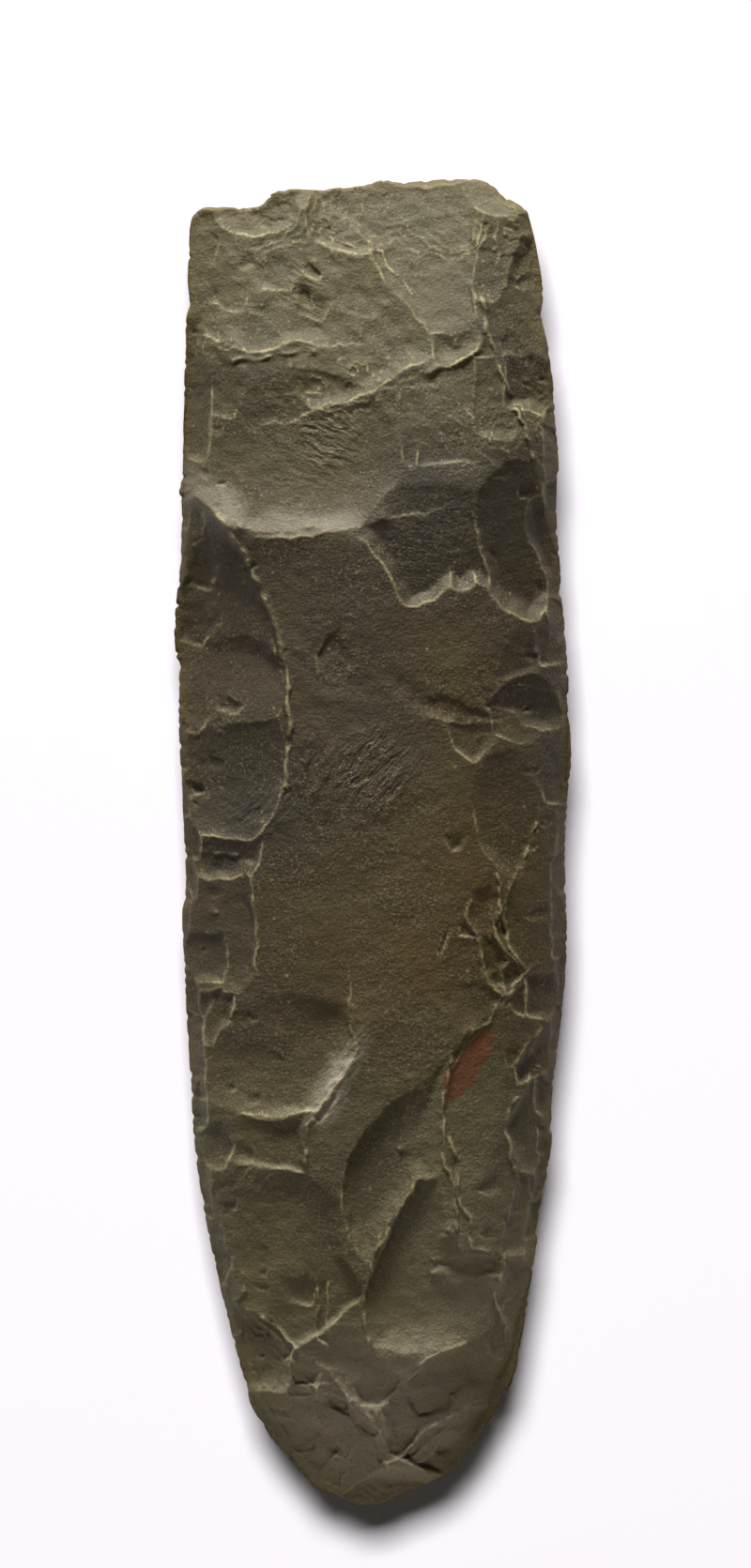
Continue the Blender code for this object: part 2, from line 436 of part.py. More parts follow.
def blank_rise(x, y, rise, boxiness):
    """Height of the smooth blank off the edge plane: arched across, thinning toward both ends."""
    to_butt_end = np.clip((WIDEST_AT - y) / BUTT_END_RUN, 0, 1)
    to_blade_end = np.clip((y - WIDEST_AT) / BLADE_END_RUN, 0, 1)
    half = HALF_WIDTH * (1 - to_butt_end**BUTT_ROUNDNESS) ** 0.5 - BLADE_NARROWING * to_blade_end**BLADE_TAPER
    across = np.clip(np.abs(x) / np.maximum(half, 0.5), 0, 1)
    to_blade = np.clip((y - BLADE_THINS_FROM) / THINNING_LENGTH, 0, 1)
    to_butt = np.clip((BUTT_THINS_FROM - y) / THINNING_LENGTH, 0, 1)
    arch = 1 - LENGTHWISE_ARCH * ((y - WIDEST_AT) / ARCH_RUN) ** 2
    crown = rise * arch * (1 - THINNED_AT_BLADE * to_blade**BLADE_CURVE) * (1 - to_butt**BUTT_CURVE)
    return crown * (1 - across ** (boxiness + BOXIER_AT_BLADE * to_blade)) ** SHOULDER


def waver(x, y, size, seed):
    """A smooth irregular field between about -1 and 1, with features of this size: half a sum of waves."""
    random = np.random.default_rng(seed)
    waves = 9
    total = np.zeros(x.shape)
    for _ in range(waves):
        heading = random.uniform(0, 2 * math.pi)
        wave_length = size * random.uniform(0.7, 1.6)
        phase = random.uniform(0, 2 * math.pi)
        along = x * math.cos(heading) + y * math.sin(heading)
        total += np.sin(2 * math.pi * along / wave_length + phase)
    return total / (waves / 2)


def outline_distance(corners, x, y):
    """Distance to a closed outline, negative inside it."""
    nearest = np.full(x.shape, np.inf)
    inside = np.zeros(x.shape, bool)
    for (ax, ay), (bx, by) in zip(corners, corners[1:] + corners[:1]):
        side_x, side_y = bx - ax, by - ay
        from_x, from_y = x - ax, y - ay
        share = np.clip((from_x * side_x + from_y * side_y) / (side_x**2 + side_y**2), 0, 1)
        nearest = np.minimum(nearest, (from_x - side_x * share) ** 2 + (from_y - side_y * share) ** 2)
        if ay != by:
            inside ^= ((ay > y) != (by > y)) & (from_x < side_x * from_y / side_y)
    return np.sqrt(nearest) * np.where(inside, -1, 1)


def rim_cosine(scar, x, y):
    """1 straight toward the scar's rim from its middle, 0 at right angles to that and -1 behind it."""
    middle_x, middle_y = np.mean(scar.corners, axis=0)
    run_x, run_y = scar.rim[0] - middle_x, scar.rim[1] - middle_y
    off_x, off_y = x - middle_x, y - middle_y
    return (off_x * run_x + off_y * run_y) / (math.hypot(run_x, run_y) * np.hypot(off_x, off_y) + 0.01)


def facet_height(facet, x, y, away, rise, boxiness):
    """Height of a facet off the edge plane, turned up outside its outline by the distance away."""
    corners = np.array(facet.corners, float)
    middle_x, middle_y = corners.mean(axis=0)
    size = np.hypot(*(corners - (middle_x, middle_y)).T).mean()
    rim_x, rim_y = facet.rim
    rim_height = float(blank_rise(np.array(rim_x, float), np.array(rim_y, float), rise, boxiness))
    off_middle = (x - middle_x) ** 2 + (y - middle_y) ** 2
    rim_off_middle = (rim_x - middle_x) ** 2 + (rim_y - middle_y) ** 2
    floor = rim_height - facet.drop + facet.slope[0] * (x - rim_x) + facet.slope[1] * (y - rim_y)
    floor = floor + facet.hollow * (off_middle - rim_off_middle) / size**2
    floor = floor + facet.follow * (blank_rise(x, y, rise, boxiness) - rim_height)
    steepness = facet.side + (facet.end - facet.side) * np.clip(rim_cosine(facet, x, y), 0, 1) ** 2
    wall = steepness * (np.sqrt(away**2 + facet.lip**2) + away) / 2
    return floor + wall + WALL_CURL * np.maximum(away - WALL_STRAIGHT, 0) ** 2


def hollow_depth(hollow, x, y, away):
    """Depth of a hollow: none on its outline, eased to its full depth inside, slowest at its far end."""
    cosine = rim_cosine(hollow, x, y)
    reach = hollow.reach * (1 + STRUCK_SIDE_REACH * np.clip(-cosine, 0, 1) ** 2)
    reach = reach + (hollow.step - hollow.reach) * np.clip(cosine, 0, 1) ** 2
    return hollow.depth * (1 - np.clip(1 + away / reach, 0, 1) ** 2)


def trimming(x, y, edge, seed):
    """Height off the edge of the small trimming scars, each a slanted facet beside the next.

    From the edge inward a facet climbs at its own slope as far as its own reach and then turns up,
    along the edge it tilts a little and is slightly hollow, and past its own width it turns up too.
    """
    random = np.random.default_rng(seed)
    run = edge.run + TRIM_WANDER * waver(x, y, TRIM_WANDER_SIZE, seed + 40)
    inward = edge.distance * (1 + TRIM_RAGGEDNESS * waver(x, y, TRIM_RAGGED_SIZE, seed + 41))
    surface = np.full(edge.run.shape, np.inf)
    start = 0.0
    while start < edge.total - TRIM_SHORTEST:
        half = random.uniform(TRIM_SHORTEST, TRIM_LONGEST) / 2
        slope = random.uniform(*TRIM_SLOPES)
        reach = random.uniform(*TRIM_REACH)
        tilt = random.uniform(-TRIM_TILT, TRIM_TILT)
        lean = random.uniform(-1, 1)
        off = (run - start - half + edge.total / 2) % edge.total - edge.total / 2 - lean * inward
        climb = slope * inward + TRIM_END_WALL * np.maximum(inward - reach, 0)
        hollow = TRIM_HOLLOW * (off / half) ** 2
        across = tilt * off + hollow + TRIM_SIDE_WALL * np.maximum(np.abs(off) - half, 0)
        surface = np.minimum(surface, climb + across)
        start += 2 * half * TRIM_STEP
    return np.maximum(surface, TRIM_GENTLEST * inward)


def carved_face(x, y, scars, rise, boxiness, seed):
    """Height off the edge plane of one face, front or back, after every scar in its order."""
    surface = blank_rise(x, y, rise, boxiness)
    warp_x = OUTLINE_WAVER * waver(x, y, WAVER_SIZE, seed + 1)
    warp_y = OUTLINE_WAVER * waver(x, y, WAVER_SIZE, seed + 2)
    warp_x = warp_x + OUTLINE_NICKS * waver(x, y, NICK_SIZE, seed + 3)
    warp_y = warp_y + OUTLINE_NICKS * waver(x, y, NICK_SIZE, seed + 4)
    for scar in scars:
        low, high = np.min(scar.corners, axis=0) - SCAR_MARGIN, np.max(scar.corners, axis=0) + SCAR_MARGIN
        near = (x > low[0]) & (x < high[0]) & (y > low[1]) & (y < high[1])
        near_x, near_y = x[near], y[near]
        away = outline_distance(scar.corners, near_x + warp_x[near], near_y + warp_y[near])
        if isinstance(scar, Facet):
            height = facet_height(scar, near_x, near_y, away, rise, boxiness)
            surface[near] = np.minimum(surface[near], height)
        else:
            surface[near] = surface[near] - hollow_depth(scar, near_x, near_y, away)
    return surface


def back_scars():
    """Scars of the back: two rows of wide ones, then three at the blade and two at the butt."""
    random = np.random.default_rng(31)
    scars = []
    for side in (-1, 1):
        middle = BACK_ROW_FROM + BACK_ROW_STAGGER * side
        while middle > BACK_ROW_TO:
            half = BACK_SCAR_LENGTH * random.uniform(*BACK_SCAR_HALVES)
            inner = BACK_RIDGE_GAP + random.uniform(0, BACK_RIDGE_WANDER)
            lean = random.uniform(-BACK_LEAN, BACK_LEAN)
            outer = side * PAST_EDGE
            corners = (
                (outer, middle + half), (side * (inner + 3), middle + half * 0.9 + lean),
                (side * inner, middle + lean), (side * (inner + 2), middle - half * 0.8 + lean),
                (outer, middle - half),
            )
            slope = (-side * random.uniform(*BACK_SLOPES), random.uniform(-BACK_TWIST, BACK_TWIST))
            drop = random.uniform(*BACK_DROPS)
            scars.append(Facet(corners, (side * (inner + 1), middle + lean), drop, slope, 0.9, 0.3))
            middle -= 2 * half * BACK_SCAR_STEP
    for left, right, reach, drop in BACK_BLADE_SCARS:
        rim = ((left + right) / 2, reach)
        corners = ((left, PAST_END), (right, PAST_END), (right - 3, reach + 4), rim, (left + 3, reach + 5))
        scars.append(Facet(corners, rim, drop, (0, -0.02), 0.4, 0.9))
    for left, right, reach, drop in BACK_BUTT_SCARS:
        rim = ((left + right) / 2, reach)
        corners = ((left, -PAST_END), (left + 4, reach - 4), rim, (right - 2, reach - 6), (right, -PAST_END))
        scars.append(Facet(corners, rim, drop, (0, 0.1), 0.3, 0.8))
    return tuple(scars)


def face_heights(x, y, edge):
    """Heights of the front and of the back over a grid, both meeting the edge line at the edge."""
    plane = EDGE_HEIGHT / MM
    front = plane + carved_face(x, y, FRONT_FACETS + FRONT_HOLLOWS, FRONT_RISE / MM, FRONT_BOXINESS, 0)
    back = plane - carved_face(x, y, back_scars(), BACK_DEPTH / MM, BACK_BOXINESS, 20)
    steep = STEEPEST_EDGE * edge.distance
    gentle = GENTLEST_EDGE * edge.distance - np.maximum(edge.distance - GENTLE_REACH, 0)
    front = np.minimum(front, edge.height + np.minimum(trimming(x, y, edge, 12), steep))
    back = np.maximum(back, edge.height - np.minimum(trimming(x, y, edge, 13), steep))
    return np.maximum(front, edge.height + gentle), np.minimum(back, edge.height - gentle)


def quads(index):
    """The four corners of each cell of a grid of vertex numbers."""
    return np.stack([index[:-1, :-1], index[1:, :-1], index[1:, 1:], index[:-1, 1:]], axis=-1).reshape(-1, 4)


def stone_mesh():
    """The whole closed surface: two grids that share the vertices of the edge."""
    x, y = face_grid(ROWS, COLUMNS)
    front, back = face_heights(x, y, nearest_edge(x, y))
    width_fit = WIDTH / MM / np.ptp(x)
    length_fit = LENGTH / MM / np.ptp(y)
    x = (x - (x.min() + x.max()) / 2) * width_fit
    y = (y - (y.min() + y.max()) / 2) * length_fit
    front_index = np.arange(x.size).reshape(x.shape)
    back_index = front_index.copy()
    back_index[1:-1, 1:-1] = x.size + np.arange((ROWS - 1) * (COLUMNS - 1)).reshape(ROWS - 1, COLUMNS - 1)
    inner = (slice(1, -1), slice(1, -1))
    points = np.vstack([
        np.stack([x, y, front], axis=-1).reshape(-1, 3),
        np.stack([x[inner], y[inner], back[inner]], axis=-1).reshape(-1, 3),
    ])
    faces = np.vstack([quads(front_index), quads(back_index)[:, ::-1]])
    mesh = bpy.data.meshes.new("axe_head")
    mesh.from_pydata((points * MM).tolist(), [], faces.tolist())
    mesh.update()
    mesh.shade_smooth()
    mesh.set_sharp_from_angle(angle=math.radians(28))
    return mesh


def bench_cutter():
    """The block whose top is the bench: it takes the rest spot flat off the underside."""
    depth = 0.02
    wide, long = WIDTH, LENGTH
    corners = [(x, y, z) for z in (-depth, 0) for y in (-long, long) for x in (-wide, wide)]
    sides = [(0, 2, 3, 1), (4, 5, 7, 6), (0, 1, 5, 4), (2, 6, 7, 3), (0, 4, 6, 2), (1, 3, 7, 5)]
    mesh = bpy.data.meshes.new("bench")
    mesh.from_pydata(corners, [], sides)
    cutter = bpy.data.objects.new("bench", mesh)
    cutter.hide_render = True
    cutter.display_type = "WIRE"
    bpy.context.scene.collection.objects.link(cutter)
    return cutter


def greenstone():
    """Fine grained olive grey stone, matt, browner where it is weathered."""
    material = bpy.data.materials.new("greenstone")
    material.use_nodes = True
    shader = material.node_tree.nodes["Principled BSDF"]
    shader.inputs["Base Color"].default_value = (0.115, 0.104, 0.066, 1)
    shader.inputs["Roughness"].default_value = 0.62
    shader.inputs["Metallic"].default_value = 0.0
    return material


def axe_head():
    """The stone: its mesh thinned to few faces, with the rest spot cut flat."""
    stone = bpy.data.objects.new("axe_head", stone_mesh())
    stone.data.materials.append(greenstone())
    bpy.context.scene.collection.objects.link(stone)
    fewer = stone.modifiers.new("fewer faces", "DECIMATE")
    fewer.ratio = KEPT_SHARE
    rest = stone.modifiers.new("rest spot", "BOOLEAN")
    rest.operation = "DIFFERENCE"
    rest.object = bench_cutter()
    return stone


def main():
    for old in list(bpy.data.objects):
        bpy.data.objects.remove(old, do_unlink=True)
    axe_head()


if __name__ == "__main__":
    main()
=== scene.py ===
"""A flaked stone axe head, long and heavy, lying on its back with the blade away from the viewer.

The surface is made as the stone was: a smooth blank between two sharp margins, then scars struck out
of it one by one. What is too fine for the solid is added to its two faces before they are joined: the
fracture's unevenness, ridges, crests, little chips and nicks. Places in the tables are millimetres:
x across from the middle, y toward the blade.
"""

import math
from typing import NamedTuple

import bpy
import numpy as np
from bpy.props import FloatProperty, FloatVectorProperty, PointerProperty
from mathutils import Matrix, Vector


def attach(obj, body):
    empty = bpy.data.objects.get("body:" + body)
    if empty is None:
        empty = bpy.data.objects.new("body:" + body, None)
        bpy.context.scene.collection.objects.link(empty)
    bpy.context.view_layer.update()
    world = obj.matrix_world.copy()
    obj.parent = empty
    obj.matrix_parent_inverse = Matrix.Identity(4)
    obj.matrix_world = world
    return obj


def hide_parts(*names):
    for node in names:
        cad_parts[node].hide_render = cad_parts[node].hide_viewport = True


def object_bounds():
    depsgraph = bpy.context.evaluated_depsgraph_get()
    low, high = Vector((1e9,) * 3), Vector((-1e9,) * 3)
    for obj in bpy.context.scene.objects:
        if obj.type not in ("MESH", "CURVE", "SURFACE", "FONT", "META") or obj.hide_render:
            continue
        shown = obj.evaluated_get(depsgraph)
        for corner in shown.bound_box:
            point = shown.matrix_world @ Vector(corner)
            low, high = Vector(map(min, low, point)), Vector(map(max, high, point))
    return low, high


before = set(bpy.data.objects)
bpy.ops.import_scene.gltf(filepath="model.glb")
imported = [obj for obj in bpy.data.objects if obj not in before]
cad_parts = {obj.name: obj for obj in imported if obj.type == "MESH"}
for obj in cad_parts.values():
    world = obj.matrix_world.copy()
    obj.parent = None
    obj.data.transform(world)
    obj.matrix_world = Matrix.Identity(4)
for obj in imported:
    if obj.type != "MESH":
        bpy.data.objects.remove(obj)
CAD_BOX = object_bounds()

bl_info = {
    "name": "Flaked stone axe head",
    "version": (1, 0, 0),
    "blender": (4, 5, 0),
    "location": "3D View > Sidebar > Stone axe",
    "description": "Builds a flaked stone axe head, its weathered greenstone finish and a pale studio",
    "category": "Object",
}

MM = 0.001

# Height of the edge over the ground, and how far the front rises and the back drops from it, in metres
EDGE_HEIGHT = 0.016
FRONT_RISE = 0.0142
BACK_DEPTH = 0.0165

# The surface is drawn on a grid over this length and width, in mm, and stays this far inside the solid's
# box at its sides, at its top and underneath
GRID_LENGTH = 212
GRID_WIDTH = 62
SIDE_INSET = 0.02
TOP_INSET = 0.04
UNDER_INSET = 0.08

# The stone is thinned to this many triangles. The points of its flat front, its busy back and its plain
# back may go, the more readily the higher the share, and none of its busy front. A place is busy where
# its marks of ridges and clefts average more than this
MOST_TRIANGLES = 190_000
FLAT_FRONT_SHARE = 0.5
BUSY_BACK_SHARE = 0.3
PLAIN_BACK_SHARE = 1.0
BUSY_FRONT = 0.01
BUSY_BACK = 0.3

# All fine detail fades out over this distance to the edge, in mm
CALM_REACH = 1.5

# Unevenness of the fracture: the height and the size of each kind of swelling, in mm
BROAD_SWELLING = (0.08, 12.0)
MIDDLING_SWELLING = (0.035, 4.0)
FINE_SWELLING = (0.014, 1.3)

# Small steps of the fracture: its levels add up from these fields, as the number of levels and the size
# in mm, and a step takes up one part in so many of a level's width and is this high, in mm
LEVEL_FIELDS = ((2.2, 14.0), (0.5, 3.5), (0.16, 1.2))
STEP_SHARPNESS = 9.0
STEP_HEIGHT = 0.09

# The steps show in rough areas of this size, in mm, and a higher share spreads these
ROUGH_SIZE = 22.0
ROUGH_SHARE = 0.3

# How much livelier the unevenness gets toward either end, from which y on, and over what length, in mm
BLADE_LIVELINESS = 2.2
BLADE_LIVELY_FROM = 55.0
BLADE_LIVELY_RUN = 25.0
BUTT_LIVELINESS = 1.0
BUTT_LIVELY_FROM = -62.0
BUTT_LIVELY_RUN = 20.0

# The whole unevenness lies this far under the solid's face, in mm
RELIEF_SINK = 0.15

# How far the lines of ridges and crests and the outlines of chips stray, and over what size, in mm
RIDGE_STRAY = (0.4, 6.0)
RIDGE_JITTER = (0.12, 1.8)
CREST_STRAY = (0.35, 5.0)
CREST_JITTER = (0.12, 1.6)
CHIP_STRAY = (0.3, 2.5)

# A crest keeps this share of its height. That changes along it by so much, over a size in mm, and stays
# between the last two
CREST_SHARE = 0.75
CREST_BREAKAGE = (0.9, 3.0)
CREST_LEAST = 0.12
CREST_MOST = 1.2

# A crest or a chip changes the face no farther than this outside its line or outline, in mm
CREST_MARGIN = 3.0
CHIP_MARGIN = 1.0

# Nicks in the edge, in mm: how deep they are, how long the fine and the wide ones are, how deep the wide
# ones are as a share of the fine, and how far in they are felt
NICK_DEPTH = 0.28
FINE_NICK_SIZE = 2.2
WIDE_NICK_SIZE = 5.5
WIDE_NICK_SHARE = 0.6
NICK_REACH = 1.5

# Farther from the middle than this they are cut in lengthwise, and the change takes this long, in mm
END_NICKS_FROM = 92.0
END_NICKS_BLEND = 6.0

# Little chips along the margins and round the butt: how many, and from which y to which, in mm
SMALL_SCARS = 150
CHIPS_FROM = -98.0
CHIPS_TO = 92.0

# They crowd along the edge of a plan with this half width, in mm, which narrows over the butt. Their way
# in, as a share of the half width, is a random number between two, to a power
CHIP_HALF_WIDTH = 28.5
CHIP_BUTT_FROM = -40.0
CHIP_BUTT_RUN = 62.0
CHIP_BUTT_ROUNDNESS = 2.2
CHIP_WAY_IN = (0.02, 0.5)
CHIP_CROWDING = 1.6

# Their length and depth in mm, and their outline: number of corners, the corners' distance from the
# middle as a share of the length, and how much narrower than long
CHIP_LENGTHS = (1.2, 3.6)
CHIP_DEPTHS = (0.12, 0.35)
CHIP_CORNERS = 7
CHIP_RADII = (0.5, 1.0)
CHIP_FLATNESS = 0.7

# They were struck inward, give or take this angle in radians. They deepen over this share of their
# length, and over this many mm where the chip came away
CHIP_TURN = 0.9
CHIP_REACH = 0.6
CHIP_STEP = 0.35

# Marks of ridges and clefts compare a point with the mean of its neighbours this far each way, in mm: its
# height over or under that mean, divided by this rise or drop in mm, less this least
NEIGHBOUR_REACH = 0.4
ARRIS_RISE = 0.07
ARRIS_LEAST = 0.35
CLEFT_DROP = 0.12
CLEFT_LEAST = 0.3

# The ridges' pale lines, partly crushed stone and partly a painted highlight, fade toward the edge over this
# distance, in mm, to this share, and the painted glow of light through the thin margin fades inward over this
# one
ARRIS_FADE = 3.0
ARRIS_FADED = 0.15
MARGIN_FADE = 1.2

# The picture: its middle over the stone, how much of the stone's plane it takes in, how high the camera
# hangs, and how far it sees, in metres
PICTURE_CENTRE = (0.00045, 0.00919)
PICTURE_HEIGHT = 0.25065
CAMERA_HEIGHT = 1.2
CAMERA_SIGHT = 10.0
SENSOR_WIDTH_MM = 36.0

# The floor reaches this far each way, in metres
FLOOR_HALF = 3.0

# Optics of the stone: the weathering skin scatters much of what fresh stone would reflect
STONE_IOR = 1.54
SKIN_SPECULAR = 0.21
SKIN_ROUGHNESS = (0.55, 0.75)

# Paper of the floor
PAPER_COLOUR = "#f8f7f9"
PAPER_ROUGHNESS = 0.9

# Noise that is drawn in the skin: its size in metres, its detail, and its roughness where that matters.
# The grain is drawn coarser than the real quarter millimetre, so that it is seen
GRAIN = (0.0005, 3.0, 0.65)
SPECKLE = (0.00036, 2.0, 0.7)
LUMPS = (0.0018, 4.0, 0.6)
PATCHES = (0.0035, 4.0)
CLOUDS = (0.009, 3.0)
TINTS = (0.016, 4.0)

# The tints are taken from another part of the noise, this far away in metres
TINT_SHIFT = 0.1

# Small flecks: their spacing in metres, how far their soft rims reach as shares of it, and between which
# values of the random red a cell begins to have one
FLECK_SPACING = 0.0022
FLECK_RIM = (0.16, 0.08)
FLECK_CHANCE = (0.8, 0.82)

# How far outlines stray that are drawn in the skin: the size of the straying and its distance, in metres
ZONE_STRAY = (0.022, 0.008)
RUST_STRAY = (0.004, 0.0015)
RIPPLE_STRAY = (0.004, 0.0012)
STRAY_DETAIL = 4.0

# Ripples: how much longer they are than their spacing, their noise in units of it, and their patches' rims
RIPPLE_LENGTH = 3.2
RIPPLE_WAVES = (1.0, 1.5)
RIPPLE_SOFTNESS = 0.4

# An oval in the skin is drawn through the face that shows: its middle and half its depth, in metres
OVAL_HEIGHT = 0.03
OVAL_DEPTH = 0.016

# Where a fracture left ripples, in mm and degrees: for each direction of the ripples and distance from
# one to the next, the patches, as middle, radii, turn and depth
RIPPLES = (
    (-25, 0.8, (((-12, 65), (7, 7), 0, 0.12), ((-6.5, 64), (4.2, 6), 0, 0.4), ((7, 47.5), (7, 6), 0, 0.2),
                ((-10.8, 88), (4, 4.5), 30, 0.35))),
    (82, 1.1, (((-9, 11.5), (3.4, 6.5), 8, 0.7),)),
    (50, 0.9, (((0, 11), (6, 6), -30, 0.6), ((-18, 5), (6, 4), 30, 0.35),
               ((-19.5, -53.5), (3.6, 2.6), -10, 0.4), ((-6.5, -38), (2.2, 9), -28, 0.4))),
)

# Painted shade and painted light on the face that shows, in mm: middle, radii, turn and strength. The darker
# clouds are painted shade over facets turned from the light; the paler ones are painted light where light
# falls brightly: on the butt, along the dish's lower band and on a few lit fractures
PAINTED_SHADE_CLOUDS = (
    ((-21, 74), (7, 7), 0, 0.5), ((23, 78), (6, 18), 0, 0.6), ((-9, 44.5), (12, 5.5), 0, 0.45),
    ((9, 52), (9, 10), 0, 0.9), ((0, 28), (9, 12), 0, 0.65), ((-22, 7), (10, 12), 0, 1.0),
    ((-1, -57), (8, 12), 0, 0.4), ((16, 88), (10, 8), 0, 0.4), ((-18, -58), (9, 10), 0, 0.35),
)
# Painted light: paler clouds where light falls brightly on the butt, the dish's lower band and a few lit
# fractures
PAINTED_LIGHT_CLOUDS = (
    ((-1, -93), (15, 12), 0, 0.9), ((16, -72), (9, 15), 0, 0.35), ((-6, -38.5), (2.4, 8), -32, 0.8),
    ((-25, 55), (4.5, 3), -40, 0.5), ((-10, 51), (12, 1.6), 0, 0.3),
)
CLOUD_SOFTNESS = 0.6

# Brown stains in the middle of the face, in mm: middle, radii, turn, softness and strength
OCHRE_STAINS = (
    ((12, -12), (14, 22), -10, 0.5, 0.9), ((10, 26), (12, 8), -20, 0.5, 0.7),
    ((-6, -15), (10, 13), 0, 0.6, 0.45), ((28, -25), (5, 22), 0, 0.6, 0.85),
)

# The rust patch, in mm: middle, radii, turn and softness
RUST_PATCH = ((15.4, -35.3), (2.4, 6.6), -32, 0.12)

# The lights: azimuth and elevation in degrees, distance, size across and up in metres, and colour
KEY_LIGHT = (95, 16, 2.0, (1.25, 0.45), "#fffdf8")
FILL_LIGHT = (-90, 38, 1.0, (0.8, 0.5), "#fff7ea")
OVERHEAD_LIGHT = (100, 67, 3.2, (0.9, 0.9), "#fffbff")

# The last small flakes, placed one by one like the hollows of the face, in mm: outline, where each came
# away, depth, and how far in from its sides and from its end it is still getting deeper
LAST_FLAKES = (
    (((-16, -92), (-11, -90), (-8, -93), (-9, -97), (-13, -98)), (-9.5, -97), 0.5, 1.8, 0.5),
    (((-8, -92), (-4, -91), (-2, -95), (-4, -98.5), (-7.5, -97)), (-4, -98), 0.45, 1.6, 0.5),
    (((-11, -98), (-7, -98), (-4, -100), (-5, -103), (-9, -102)), (-6, -102.5), 0.4, 1.5, 0.4),
    (((0, -95), (4, -93), (8, -94), (6, -98), (1, -99)), (2, -99), 0.45, 1.5, 0.4),
    (((5, -88), (10, -86.5), (14, -88), (12, -91), (7, -91.5)), (8, -91), 0.5, 1.8, 0.5),
    (((-3, -86), (2, -84), (5, -86.5), (3, -89.5), (-2, -89.5)), (0, -89.5), 0.5, 1.8, 0.5),
    (((-15, -84), (-11, -82), (-8, -84), (-9, -88), (-13, -88.5)), (-10.5, -88), 0.5, 1.8, 0.5),
    (((-19, 92), (-14, 94), (-11, 91), (-13, 87.5), (-18, 88)), (-15, 87.5), 0.35, 1.6, 0.4),
    (((-13, 88), (-9, 89), (-6, 86), (-8, 82.5), (-12, 84)), (-9.5, 82.8), 0.35, 1.6, 0.4),
    (((-25, 90), (-21, 92), (-19, 88), (-21, 84), (-25, 85)), (-23, 84.2), 0.35, 1.8, 0.4),
    (((-4, 88), (1, 90), (3, 86), (0, 83), (-4, 84)), (-2, 83), 0.25, 1.5, 0.35),
    (((-27, 74), (-23, 76), (-20, 72), (-22, 67), (-26, 68)), (-23.5, 67), 0.35, 2.0, 0.5),
    (((-30, 47), (-26, 48), (-24, 44), (-26, 40), (-30, 41)), (-26, 40.5), 0.6, 2.0, 0.5),
    (((-31, 38), (-26.5, 38.5), (-25, 34), (-27, 31), (-31, 32)), (-27, 31.3), 0.6, 2.0, 0.5),
    (((-31, 24), (-27, 24), (-25.5, 20), (-28, 17), (-31, 18)), (-28, 17.4), 0.5, 1.8, 0.5),
    (((-31, -20), (-26, -19), (-24.5, -24), (-26.5, -28), (-31, -27)), (-27, -27.5), 0.5, 2.0, 0.5),
    (((31, 36), (27, 36), (25.5, 32), (27, 28), (31, 28.5)), (28, 28.2), 0.6, 2.0, 0.5),
    (((31, 14), (27.5, 15), (26, 10), (27.5, 6), (31, 6)), (28, 6), 0.5, 2.0, 0.5),
    (((30, -48), (26, -47), (24, -52), (25.5, -57), (30, -56)), (26.5, -56.6), 0.5, 2.0, 0.5),
)

# Ridges that the ground climbs to, in mm: the line of each from left to right, its height, and how far
# the climb reaches on the side toward the blade and on the other
RIDGES = (
    (((-28.2, 55), (-24.8, 51.8), (-21.5, 49.7)), 1.7, 2.8, 2.5),
    (((-21.5, 49.7), (-18.8, 48.9), (-12, 49.3), (-2.4, 50.1), (2, 51)), 1.15, 2.6, 4.0),
    (((-9.4, 68.4), (-4, 70.2), (0, 72.3), (4, 74.6), (9, 76.4), (13, 76.7)), 0.6, 0.7, 5.0),
    (((-24, 79.4), (-20, 77.8), (-16, 78.4), (-12, 79.2), (-7, 79.0)), 0.45, 0.6, 4.0),
    (((-15.5, -43), (-11, -42.8), (-7.4, -39), (-4.4, -34.5), (-3.4, -31), (-3.6, -27)), 0.7, 1.2, 4.0),
    (((-14, -45.4), (-10.4, -44.6), (-7.6, -42), (-5.2, -38)), 0.4, 0.5, 2.0),
)

